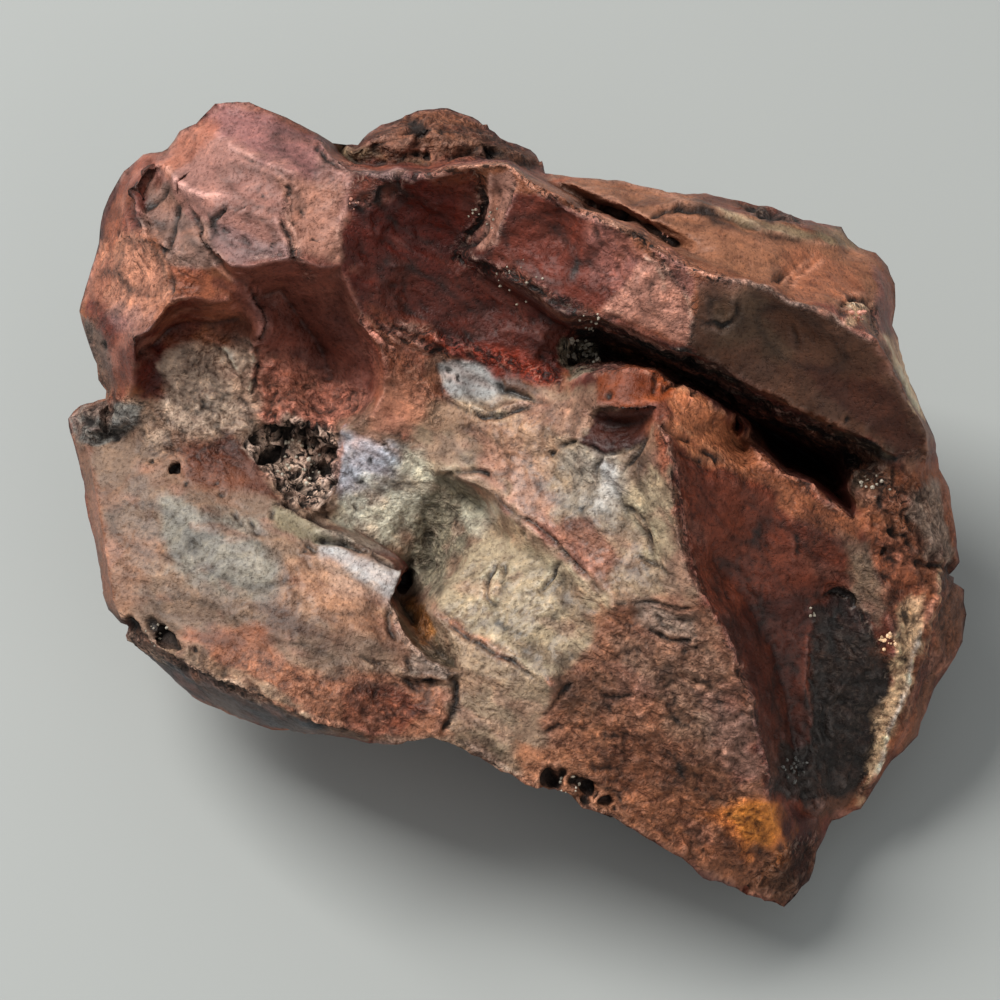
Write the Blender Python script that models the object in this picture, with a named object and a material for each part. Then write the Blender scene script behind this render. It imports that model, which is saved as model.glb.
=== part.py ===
# Rough jasper: one broken stone, metres, +Z up, standing on its flat spot at z = 0.
# Its broken front leans back, so every break on it is laid out on a slanted square plan:
# u runs right and v runs down over 1000 units, followed along lines of sight that fall
# 60 degrees onto the stone from 300 mm away, and each point has its height over the table.
import math

import bmesh
import bpy
import numpy as np
from mathutils.geometry import delaunay_2d_cdt

PLAN_UNIT = 0.00009        # one plan unit, so the whole plan is 90 mm across
SIGHT_DISTANCE = 0.300
SIGHT_SLOPE = math.radians(60.0)
PLAN_HEIGHT = 0.024        # height of the plan's middle over the table
FRONT_STEP = 13.5          # spacing of the facets on the front, in plan units
BACK_STEP = 25.0           # and on the hidden sides and underside
ROUGHNESS_MM = 0.07
MM = 0.001

# ---- outline of the front, clockwise from the left corner: u, v, height in mm ----
RIM = [
    (68, 419, 18), (80, 405, 19), (105, 398, 20.4), (105, 391, 20.8), (97, 381, 20.6), (95, 365, 21),
    (83, 333, 22), (79, 311, 23), (87, 280, 24), (96, 252, 25), (103, 209, 27), (117, 180, 29),
    (124, 170, 30), (143, 154, 32), (156, 151, 33), (167, 147, 34), (180, 132, 35.5),
    (196, 123, 36.5), (215, 104, 38), (237, 100, 39), (249, 101, 39), (263, 108, 39),
    (300, 123, 39), (324, 137, 38.5), (334, 143, 37), (358, 145, 35), (367, 132, 34),
    (381, 124, 34), (395, 120, 34.5), (420, 110, 35), (448, 108, 35), (472, 116, 35),
    (500, 138, 34.5), (531, 149, 34), (541, 161, 34), (546, 172, 35.5), (560, 174, 37),
    (601, 177, 37.5), (640, 185, 38), (685, 195, 37.5), (706, 193, 36.5), (737, 201, 36),
    (771, 206, 35), (804, 220, 34.5), (816, 221, 34), (842, 226, 33), (849, 237, 33),
    (859, 245, 32.5), (876, 252, 32), (888, 266, 31.5), (895, 283, 31), (896, 306, 31),
    (893, 325, 30), (902, 347, 29), (911, 383, 27.5), (926, 414, 26), (935, 438, 25),
    (940, 466, 22), (950, 488, 20), (953, 516, 18.5), (956, 549, 17), (961, 562, 16),
    (956, 570, 15), (950, 574, 14), (964, 590, 11), (967, 614, 9.5), (963, 642, 8.5),
    (946, 670, 8), (940, 678, 8), (925, 712, 7.5), (918, 736, 7), (892, 760, 7.5),
    (875, 790, 6.5), (861, 809, 5.5), (832, 821, 5.2), (827, 835, 5.2), (816, 852, 5),
    (813, 871, 4.6), (809, 881, 4.8), (796, 895, 5), (784, 907, 5.6), (765, 902, 7.6),
    (742, 891, 9.8), (728, 884, 11), (704, 877, 12.4), (681, 858, 14.4), (649, 841, 16.2),
    (626, 825, 17.2), (583, 808, 18.4), (566, 794, 19), (526, 784, 19.6), (480, 758, 20.6),
    (463, 750, 20.6), (432, 738, 20.8), (396, 745, 19.6), (330, 737, 18.6), (304, 736, 17),
    (273, 730, 15.5), (241, 720, 13.5), (206, 703, 12.5), (180, 687, 12), (160, 668, 12.5),
    (126, 641, 14.5), (125, 629, 17), (108, 610, 16.5), (101, 598, 16), (97, 560, 16.5),
    (90, 524, 17), (83, 482, 17.5), (74, 446, 18),
]

# ---- breaks on the front: ridges, ledge edges and the feet below them ----
FRONT_BREAKS = {
    "crest": [
        (318, 140, 40), (331, 158, 41.5), (352, 171, 42.5), (374, 175, 43), (400, 173, 43.5),
        (429, 175, 44), (448, 169, 45), (481, 165, 46), (506, 165, 46.5), (531, 181, 46.5),
        (554, 193, 47), (594, 214, 47.3), (637, 231, 47.3), (661, 250, 46.8), (684, 257, 46.3),
        (715, 276, 45.6), (768, 288, 44.6), (790, 303, 44), (828, 312, 42.7), (854, 328, 41.2),
        (876, 340, 39.7), (895, 369, 37), (916, 412, 33.5), (926, 430, 31.5), (928, 449, 29)],
    "behind crest": [
        (340, 151, 35.5), (354, 162, 36.5), (374, 167, 37), (400, 165, 37.5), (429, 167, 38),
        (448, 161, 38.5), (481, 157, 38.5), (508, 157, 38), (530, 170, 36.5), (548, 181, 37),
        (566, 190, 37), (594, 205, 36), (614, 211, 35.5), (636, 221, 36.5), (650, 229, 38),
        (664, 240, 37), (686, 248, 38.5), (716, 266, 42), (769, 279, 42.8), (792, 294, 42.6),
        (829, 303, 41.3), (850, 315, 40), (866, 327, 38), (884, 344, 35), (899, 372, 31.5),
        (914, 404, 29.5), (928, 430, 27)],
    "rear slab near": [
        (572, 184, 40), (604, 197, 40.8), (622, 204, 41), (645, 217, 41.8), (672, 232, 42.4),
        (700, 249, 43), (724, 262, 43.2)],
    "rear slab ledge": [
        (634, 211, 41.4), (650, 208, 41.4), (679, 203, 41.2), (706, 207, 40.8), (732, 213, 40.4),
        (760, 217, 39.8), (788, 222, 39), (816, 230, 37.8), (836, 240, 36.4)],
    "rear slab ledge foot": [
        (632, 204, 39.6), (650, 201, 39.4), (679, 197, 38.6), (706, 200, 38), (732, 206, 37.6),
        (760, 210, 37), (788, 215, 36.6), (816, 224, 35.6)],
    "rear groove a": [(812, 252, 38.4), (796, 268, 39.6), (778, 282, 41)],
    "rear groove b": [(822, 256, 38), (806, 273, 39.4), (790, 288, 41)],
    "rear corner": [
        (850, 305, 39), (862, 300, 37.8), (872, 304, 36.6), (876, 318, 35.8), (880, 332, 35.4)],
    "rear right edge": [
        (862, 262, 35.4), (878, 276, 35), (886, 294, 34.6), (885, 316, 34), (890, 338, 33),
        (899, 358, 30.4)],
    "back lump crown": [
        (352, 154, 37.4), (372, 142, 38.2), (398, 134, 38.8), (428, 128, 39.4), (456, 130, 39.6),
        (484, 142, 39.2), (510, 150, 38), (530, 160, 36.6)],
    "slab left foot": [
        (474, 171, 44.4), (482, 190, 42.3), (486, 211, 40.5), (479, 223, 39.4), (466, 245, 37.4),
        (459, 257, 36)],
    "slab left edge": [
        (512, 172, 46.2), (516, 190, 45), (508, 206, 43.8), (500, 228, 42.2), (494, 246, 40.8),
        (484, 258, 39.4), (474, 259, 38.2)],
    "slab underside edge": [
        (474, 259, 38.2), (490, 268, 39.2), (512, 281, 40), (540, 297, 40.6), (566, 315, 40.8),
        (602, 316, 41.4), (633, 329, 41.2), (682, 351, 40.2), (700, 357, 39), (723, 366, 37.6),
        (755, 386, 35.9), (790, 403, 34.5), (820, 417, 33.2), (852, 430, 31.6), (880, 448, 29.8),
        (898, 457, 28.6), (914, 460, 27.6)],
    "slab underside foot": [
        (468, 268, 35.6), (486, 279, 35.2), (508, 292, 35), (534, 308, 34.8), (554, 323, 34)],
    "slab front corner": [
        (686, 262, 45.6), (696, 278, 45.2), (697, 291, 44.6), (693, 319, 42.6), (689, 345, 40.6)],
    "pale facet edge": [
        (650, 254, 46), (646, 272, 45), (626, 292, 43.2), (606, 310, 41.8)],
    "slab hollow": [(560, 214, 45), (556, 240, 43.4), (548, 266, 42)],
    "slot lip": [
        (570, 330, 33), (596, 328, 32.6), (626, 341, 32), (660, 358, 31), (690, 372, 30.4),
        (723, 386, 28.6), (748, 402, 27), (778, 419, 25.6), (812, 436, 24.4), (842, 450, 23.6),
        (860, 462, 23.6)],
    "slot floor": [
        (584, 346, 27.6), (606, 344, 25.6), (640, 354, 24), (684, 377, 21), (722, 401, 17),
        (756, 425, 14.6), (790, 443, 13.4), (818, 462, 13.4), (836, 480, 15)],
    "slot lower wall": [
        (574, 364, 29), (600, 361, 28.6), (636, 360, 27.6), (668, 371, 25.4), (697, 387, 23),
        (731, 410, 20), (760, 444, 16.4), (784, 464, 15.4), (812, 474, 15.6), (834, 493, 17.6),
        (850, 508, 20)],
    "slot lower edge": [
        (570, 383, 33), (586, 376, 35.6), (606, 371, 37.6), (630, 369, 38.6), (655, 370, 38.6),
        (667, 380, 37.6), (688, 388, 37.2), (706, 396, 36.6), (740, 419, 34.4), (766, 455, 31.4),
        (788, 476, 30.2), (812, 484, 29.4), (836, 505, 27.8), (862, 527, 26)],
    "slot right wall": [(872, 462, 27), (857, 474, 26), (850, 487, 25.6), (856, 502, 25.2)],
    "band foot": [
        (358, 322, 33.6), (376, 336, 32.6), (394, 348, 31.6), (434, 354, 30.6), (474, 361, 30.2),
        (500, 370, 30.2), (522, 381, 30.4), (548, 396, 31.2), (562, 392, 32)],
    "band crest scar": [(352, 206, 41), (376, 202, 41), (392, 205, 40.8), (404, 196, 41.6)],
    "band fold": [(372, 238, 38.4), (420, 250, 37), (450, 282, 34.6), (500, 318, 33.2),
                  (540, 346, 32.6)],
    "lobe right edge": [
        (356, 178, 42.2), (349, 194, 41.6), (350, 208, 40.8), (338, 231, 40), (340, 245, 39.5),
        (341, 266, 38)],
    "lobe lower edge": [
        (203, 243, 38.2), (216, 256, 38.4), (231, 265, 38.6), (249, 266, 38.8), (289, 257, 39.6),
        (306, 262, 39.2), (322, 268, 38.6), (341, 266, 38)],
    "lobe rib": [
        (163, 164, 35.6), (176, 181, 37), (194, 192, 38.4), (212, 201, 39.4), (236, 214, 40)],
    "lobe upper rib": [(196, 131, 37.4), (222, 148, 39.4), (252, 158, 40.6), (290, 172, 41.4)],
    "scar edge": [
        (147, 168, 34.6), (138, 182, 34), (133, 194, 33.6), (136, 211, 33.8), (144, 235, 34.4),
        (166, 248, 36)],
    "scar foot": [(152, 178, 33.2), (144, 194, 32.6), (146, 211, 33), (153, 230, 33.6)],
    "chip a": [(178, 182, 36.6), (180, 204, 35.6), (171, 226, 34.8), (164, 240, 35)],
    "chip b": [(192, 200, 37.4), (200, 222, 37.4), (204, 242, 38)],
    "chip c": [(212, 220, 39), (232, 236, 38.6), (258, 250, 38.8)],
    "left lobe lower edge": [
        (134, 337, 31.6), (148, 331, 32.6), (158, 318, 33.4), (166, 305, 34), (180, 297, 34.6),
        (192, 297, 34.4), (212, 302, 34), (228, 300, 34)],
    "white rib": [(203, 243, 38.2), (218, 260, 36.8), (234, 280, 35), (246, 292, 33.8)],
    "hollow foot": [
        (139, 352, 27.6), (153, 345, 27), (168, 330, 27.4), (186, 322, 28.4), (212, 324, 28.4),
        (238, 318, 29.6)],
    "lobe corner": [(134, 337, 31.6), (135, 360, 29.2), (133, 384, 26.4), (128, 398, 24.4)],
    "left flank": [(100, 318, 26.6), (106, 338, 26.4), (113, 366, 25.4), (119, 388, 24)],
    "curved step": [(255, 299, 32.6), (264, 311, 32), (268, 325, 31), (259, 341, 30)],
    "curved step foot": [(262, 297, 31.6), (273, 311, 30.6), (276, 326, 29.6), (267, 344, 28.6)],
    "scoop throat": [
        (280, 290, 31.6), (300, 318, 28.4), (322, 350, 26.2), (334, 382, 25), (322, 408, 24.4)],
    "scoop right rim": [
        (341, 266, 38), (352, 296, 35.6), (368, 326, 33.6), (380, 344, 32.8), (387, 369, 31.6),
        (383, 394, 30), (371, 416, 28.4), (350, 428, 27), (332, 434, 26)],
    "scoop right foot": [
        (336, 296, 33), (352, 328, 30.4), (366, 352, 29), (371, 374, 27.8), (366, 394, 26.6),
        (352, 410, 25.6)],
    "vug rim": [
        (256, 424, 24.2), (248, 444, 23.8), (262, 470, 23.8), (284, 488, 23.8), (290, 506, 23.8),
        (318, 510, 24), (334, 494, 24.4), (338, 470, 24.8), (336, 444, 25.2), (318, 430, 25.2),
        (290, 418, 24.6), (256, 424, 24.2)],
    "vug floor": [
        (268, 434, 21.6), (268, 452, 21), (286, 470, 20.4), (304, 488, 21), (322, 484, 20.8),
        (326, 458, 20), (306, 440, 21)],
    "terrace edge": [
        (284, 505, 24.4), (303, 516, 24.5), (325, 529, 24.6), (345, 535, 24.7), (369, 549, 24.6),
        (390, 560, 24.4), (403, 569, 24.2), (399, 582, 24), (391, 603, 23.8), (399, 628, 23.8),
        (411, 647, 23.8), (430, 662, 23.6), (446, 674, 23.4)],
    "terrace edge foot": [
        (293, 500, 23.4), (310, 508, 23), (332, 520, 22.6), (350, 527, 22.2), (374, 540, 21),
        (396, 553, 19.6), (409, 566, 17.4)],
    "notch": [(407, 576, 15.6), (403, 592, 15.8), (401, 604, 17)],
    "cleft floor": [
        (412, 620, 18.4), (424, 638, 19.4), (440, 655, 20.8), (454, 666, 22)],
    "cleft right wall": [
        (421, 606, 20.4), (428, 622, 20.8), (442, 640, 22), (455, 656, 22.8)],
    "bright facet left edge": [
        (476, 552, 23.4), (458, 576, 22.8), (441, 597, 23), (435, 615, 23.2), (448, 632, 23.6),
        (462, 650, 23.8), (463, 672, 23.4)],
    "bright facet crease": [
        (443, 622, 23.4), (486, 647, 24.6), (520, 664, 25.2), (551, 686, 25.4)],
    "small triangle": [(412, 650, 23.4), (413, 676, 22.8), (448, 682, 22.8)],
    "below triangle": [(404, 684, 22), (420, 688, 21.8), (452, 684, 22.2)],
    "ridge": [
        (437, 470, 25.6), (446, 469, 26.4), (463, 479, 27), (488, 489, 27.6), (503, 508, 27.9),
        (520, 526, 28.2), (555, 543, 28.9), (581, 571, 29.4), (600, 590, 29.6), (613, 606, 29.5)],
    "ridge foot": [
        (432, 482, 24.4), (448, 484, 24), (464, 496, 23.2), (482, 510, 22.8), (496, 530, 23.6),
        (512, 546, 25.4), (540, 560, 26.4), (566, 584, 27.6), (596, 608, 28.4)],
    "hollow bottom": [(424, 520, 20.6), (430, 544, 18.6), (432, 566, 17.8), (424, 590, 19)],
    "shelf edge": [
        (613, 606, 29.5), (641, 602, 30), (667, 610, 30.4), (692, 612, 30.8), (714, 614, 31)],
    "shelf foot": [(610, 616, 28.4), (641, 612, 28.8), (667, 619, 29.2), (690, 622, 29.6)],
    "wave": [(648, 630, 28.8), (668, 640, 28.4), (686, 644, 28.4), (700, 636, 29.2)],
    "pinch": [(620, 504, 31.8), (646, 535, 31.6), (652, 558, 31.2)],
    "front ridge": [
        (659, 427, 39.2), (668, 442, 38.8), (671, 462, 38.3), (671, 486, 37.6), (676, 512, 36.4),
        (678, 536, 35.4), (687, 571, 33.6), (698, 594, 32.2), (715, 613, 31), (732, 641, 29.2),
        (736, 656, 28.4), (733, 670, 27.6), (749, 691, 25.9), (754, 711, 24.4), (762, 741, 21.8),
        (770, 773, 19.8), (768, 799, 18), (776, 828, 14.6), (784, 860, 11.2), (790, 884, 8.4)],
    "front ridge foot": [
        (684, 440, 36.6), (684, 470, 35.8), (688, 506, 34.2), (692, 536, 32.8), (702, 568, 31)],
    "nub lower edge": [
        (590, 396, 36), (600, 404, 36.8), (618, 410, 37.6), (638, 409, 38.2), (656, 406, 38.2),
        (668, 400, 37.8)],
    "nub hollow": [
        (596, 418, 33.4), (610, 424, 33.6), (628, 424, 34.2), (644, 420, 35.4)],
    "nub hollow lip": [
        (580, 439, 33.6), (598, 447, 33.8), (616, 455, 34.2), (632, 454, 35), (644, 442, 36.4),
        (652, 430, 37.8)],
    "grey patch edge": [
        (438, 372, 29.2), (444, 396, 28.6), (466, 410, 28.6), (484, 418, 28.7), (509, 411, 29.4),
        (535, 402, 30.4)],
    "grey patch foot": [
        (446, 368, 29.3), (453, 392, 28.7), (470, 403, 28.5), (486, 410, 28.4), (508, 403, 28.9)],
    "slope rib": [(560, 420, 32.2), (520, 450, 29.4), (490, 468, 27.9)],
    "dark facet top": [
        (700, 430, 35), (740, 470, 32.2), (790, 512, 29), (836, 544, 26.4)],
    "dark facet trough": [
        (716, 560, 28.8), (748, 600, 24.4), (774, 650, 20), (786, 700, 16.6), (796, 760, 12.4),
        (800, 806, 9.6)],
    "patch left edge": [
        (842, 594, 21), (820, 606, 21.6), (809, 642, 19.8), (807, 700, 16.4), (815, 730, 14.2),
        (819, 778, 11.4), (817, 818, 8.4)],
    "dark facet right edge": [
        (862, 527, 26), (876, 560, 24), (886, 596, 21.6), (893, 628, 19.6), (894, 660, 17.6),
        (884, 690, 15.2), (878, 726, 12.4), (866, 762, 9.8), (856, 800, 6.8)],
    "right lump": [
        (880, 474, 27.2), (890, 496, 27), (896, 520, 25.6), (904, 548, 23.6)],
    "right thin rib": [
        (914, 470, 26.6), (919, 500, 25), (931, 532, 22.8), (943, 563, 20.4), (937, 604, 18.8),
        (926, 642, 17), (917, 679, 15.2), (908, 710, 13.2), (892, 748, 10.2), (874, 778, 8.4)],
    "right thin rib foot": [
        (949, 562, 17.4), (945, 604, 14.4), (936, 642, 12.4), (926, 679, 11), (914, 714, 9.6)],
    "crust a": [(84, 411, 21), (98, 410, 22), (100, 428, 21.8), (86, 432, 20.8), (84, 411, 21)],
    "crust b": [(112, 404, 23), (132, 408, 23.6), (130, 420, 23.2), (114, 424, 22.6),
                (112, 404, 23)],
    "crust gap": [(108, 405, 21.6), (107, 417, 20.8), (106, 436, 20.2), (124, 432, 21)],
    "left strip edge": [
        (80, 446, 20.2), (87, 448, 20.8), (93, 480, 21), (100, 520, 21.2), (107, 562, 21),
        (113, 600, 20.2), (124, 620, 19.8)],
    "lower left rim edge": [
        (124, 620, 19.8), (136, 632, 20), (156, 644, 20.6), (172, 655, 21), (215, 679, 22),
        (265, 698, 22.8), (306, 720, 22.8), (327, 727, 22.4), (360, 734, 20.8)],
    "terrace dome": [
        (128, 480, 22.2), (190, 510, 23.6), (262, 560, 24.6), (330, 600, 24.8), (372, 640, 24.4)],
    "terrace hollow": [(150, 440, 22.6), (196, 470, 23.4), (246, 506, 23.6)],
    "terrace upper rise": [
        (176, 372, 25.6), (214, 384, 25.4), (250, 398, 24.8)],
    "tip lump": [(766, 880, 9.4), (780, 872, 10.4), (796, 862, 9.2), (806, 848, 7.6)],
}

# ---- smooth dips (minus) and swellings (plus) pressed into the front: u, v, radius, mm ----
FRONT_SWELLS = [
    (404, 142, 26, 0.7), (446, 146, 24, 0.8), (488, 128, 22, 0.6), (374, 146, 18, 0.6),
    (432, 118, 20, 0.5), (426, 150, 14, -0.9), (468, 128, 12, -0.8), (396, 128, 11, -0.7),
    (506, 146, 13, -0.7), (458, 156, 11, -0.6), (556, 240, 44, -0.8), (620, 262, 34, -0.5),
    (640, 296, 30, 0.5), (430, 220, 60, -1.0), (480, 310, 46, -0.8), (410, 300, 40, -0.7),
    (300, 150, 60, 0.7), (262, 214, 44, 0.8), (120, 262, 36, 0.7), (116, 216, 24, -0.4),
    (310, 370, 50, -0.9), (196, 334, 34, -0.6), (230, 372, 30, 0.4), (174, 420, 36, 0.4),
    (174, 469, 9, -1.1), (220, 452, 22, -0.4), (262, 520, 40, 0.3), (196, 566, 60, 0.5),
    (300, 640, 60, 0.4), (240, 656, 36, -0.4), (352, 690, 36, 0.4), (142, 627, 13, -1.4),
    (168, 639, 11, -1.2), (424, 712, 26, 0.4), (376, 470, 40, 0.4), (356, 500, 26, -0.4),
    (500, 430, 50, 0.4), (560, 470, 46, -0.5), (600, 520, 40, 0.5), (660, 560, 26, 0.4),
    (520, 600, 46, 0.6), (560, 640, 34, -0.5), (500, 700, 44, 0.5), (570, 730, 50, -0.7),
    (640, 700, 50, 0.6), (690, 760, 44, 0.5), (620, 780, 36, -0.5), (730, 840, 34, 0.7),
    (690, 830, 30, -0.4), (553, 782, 11, -1.2), (586, 786, 10, -1.0), (608, 806, 10, -0.9),
    (850, 470, 12, 0.8), (874, 500, 18, 0.9), (900, 530, 18, -0.8), (886, 546, 14, 0.7),
    (920, 560, 16, 0.6), (906, 590, 20, -0.6), (912, 640, 16, 0.4), (850, 650, 40, 0.6),
    (846, 740, 36, 0.5), (800, 780, 16, 0.5), (760, 520, 50, -0.7), (730, 560, 40, -0.8),
    (780, 340, 60, -0.9), (850, 380, 44, -0.6), (740, 300, 26, 0.4), (720, 322, 14, -0.5),
    (760, 244, 40, 0.5), (838, 272, 26, -0.4), (857, 315, 11, 0.8), (690, 226, 26, -0.4),
    (84, 352, 14, -0.5), (92, 376, 10, 0.5), (600, 362, 9, 0.9), (584, 352, 8, 0.8),
    (654, 348, 9, 0.7), (702, 372, 9, 0.6), (790, 770, 9, 0.5), (806, 750, 7, 0.4),
]

# ---- breaks on the hidden sides and the underside: x, y, height, all in mm ----
FLAT_SPOT = [(-13, -5, 0), (-3, -9, 0), (9, -8, 0), (15, 0, 0), (12, 10, 0), (1, 14, 0),
             (-10, 10, 0), (-16, 3, 0)]
BACK_BREAKS = {
    "lower belt left": [(-20, -12, 10), (-30, -7, 11), (-34, 3, 9), (-30, 17, 8), (-19, 27, 9)],
    "lower belt back": [(-19, 27, 9), (-8, 32, 8), (4, 32, 6), (17, 28, 5), (28, 21, 5)],
    "lower belt right": [(28, 21, 5), (35, 10, 6), (34, -2, 4.5), (29, -14, 3)],
    "belt front": [(29, -14, 3), (22, -21, 2.4), (12, -20, 4.6), (2, -17, 8), (-9, -14.4, 9.2),
                   (-20, -12, 10)],
    "upper belt": [(-36.5, 12, 17.6), (-33, 18, 20), (-25, 26, 24), (-10, 34, 23), (6, 31, 25), (21, 29, 21),
                   (33, 21, 18), (38, 7, 17)],
    "left wall rib": [(-25, 26, 24), (-24, 24, 15), (-19, 27, 9)],
    "back wall rib": [(6, 31, 25), (8, 33, 15), (4, 32, 6)],
    "right wall rib": [(33, 21, 18), (33, 19, 11), (28, 21, 5)],
    "keel left": [(-34, 3, 9), (-25, 4, 3.6), (-16, 3, 0)],
    "left wall": [(-30, 17, 8), (-36.4, 10, 11.6), (-34, 3, 9)],
    "keel back": [(4, 32, 6), (3, 23, 2.4), (1, 14, 0)],
    "keel right": [(34, -2, 4.5), (24, -1, 2.6), (15, 0, 0)],
    "keel front": [(2, -17, 8), (1, -13, 3.6), (-3, -9, 0)],
    "tip keel": [(22, -21, 2.4), (15, -15, 1.6), (9, -8, 0)],
}
# plan places and where they move to, so the walls seen along their slope are spread out
BACK_STRETCH = (((0, 90, 200, 820, 960, 1000), (-160, 20, 170, 820, 1010, 1090)),
                ((0, 100, 330, 660, 760, 1000), (-460, -240, 270, 650, 850, 1330)))
BACK_SWELLS = [
    (240, 300, 70, 1.4), (420, 260, 80, -1.6), (600, 240, 70, 1.2), (760, 300, 70, -1.4),
    (860, 420, 60, 1.2), (180, 460, 60, -1.2), (220, 560, 50, 1.0), (300, 640, 44, -0.9),
    (560, 400, 60, 1.3), (720, 440, 60, -1.2), (780, 560, 60, 1.0), (740, 680, 50, -0.8),
    (860, 640, 40, -0.8), (320, 420, 60, 1.2), (460, 380, 60, -1.1), (640, 300, 40, -0.9),
    (130, 380, 30, 0.8), (520, 200, 30, -0.8), (300, 190, 36, 0.9), (820, 330, 30, 0.7),
]


# ---- the slanted plan and the lines of sight through it ----
right = np.array([1.0, 0.0, 0.0])
up = np.array([0.0, math.sin(SIGHT_SLOPE), math.cos(SIGHT_SLOPE)])
toward = np.array([0.0, -math.cos(SIGHT_SLOPE), math.sin(SIGHT_SLOPE)])
plan_middle = np.array([0.0, 0.0, PLAN_HEIGHT])
sight_from = plan_middle + toward * SIGHT_DISTANCE


def place(uvh):
    """Points in metres where the line of sight through (u, v) is h mm over the table."""
    uvh = np.asarray(uvh, dtype=float)
    on_plan = (plan_middle + np.outer((uvh[:, 0] - 500.0) * PLAN_UNIT, right)
               + np.outer((500.0 - uvh[:, 1]) * PLAN_UNIT, up))
    line = on_plan - sight_from
    reach = (uvh[:, 2] * MM - sight_from[2]) / line[:, 2]
    return sight_from + line * reach[:, None]


def on_plan(xyh):
    """The same the other way: (x, y, h) in mm to (u, v, h) on the plan."""
    line = np.asarray(xyh, dtype=float) * MM - sight_from
    reach = SIGHT_DISTANCE / -(line @ toward)
    return np.column_stack([500.0 + (line @ right) * reach / PLAN_UNIT,
                            500.0 - (line @ up) * reach / PLAN_UNIT,
                            np.asarray(xyh, dtype=float)[:, 2]])


def divided(line, step, closed=False):
    """The line's own corners plus even points between them, about one step apart."""
    line = np.asarray(line, dtype=float)
    ends = np.roll(line, -1, axis=0) if closed else line[1:]
    starts = line if closed else line[:-1]
    parts = []
    for a, b in zip(starts, ends):
        count = max(1, int(round(np.hypot(*(b - a)[:2]) / step)))
        parts.append(a + (b - a) * (np.arange(count) / count)[:, None])
    if not closed:
        parts.append(line[-1:])
    return np.vstack(parts)


def spread(flat, stretch):
    """Plan points on the stretched plan, where steep walls get their true share of facets."""
    if stretch is None:
        return flat.copy()
    return np.column_stack([np.interp(flat[:, 0], *stretch[0]), np.interp(flat[:, 1], *stretch[1])])


def inside(points, ring):
    """Which points lie inside the closed ring (crossing count)."""
    x, y = points[:, 0][:, None], points[:, 1][:, None]
    x0, y0 = ring[:, 0][None], ring[:, 1][None]
    x1, y1 = np.roll(x0, -1), np.roll(y0, -1)
    spans = (y0 > y) != (y1 > y)
    cross = x0 + (y - y0) * (x1 - x0) / np.where(y1 == y0, 1e-9, y1 - y0)
    return (np.sum(spans & (cross > x), axis=1) % 2) == 1


def lattice(step, ring, taken, rng):
    """Jittered triangular grid of free points, kept clear of the break lines."""
    start, stop = ring.min(axis=0), ring.max(axis=0)
    rows = np.arange(start[1], stop[1], step * 0.866)
    grid = np.array([(c + (r % 2) * step * 0.5, v) for r, v in enumerate(rows)
                     for c in np.arange(start[0], stop[0], step)])
    grid += rng.uniform(-0.2, 0.2, grid.shape) * step
    grid = grid[inside(grid, ring)]
    gap = np.sqrt(((grid[:, None, :] - taken[None, :, :2]) ** 2).sum(axis=2).min(axis=1))
    return grid[gap > step * 0.62]


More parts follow.
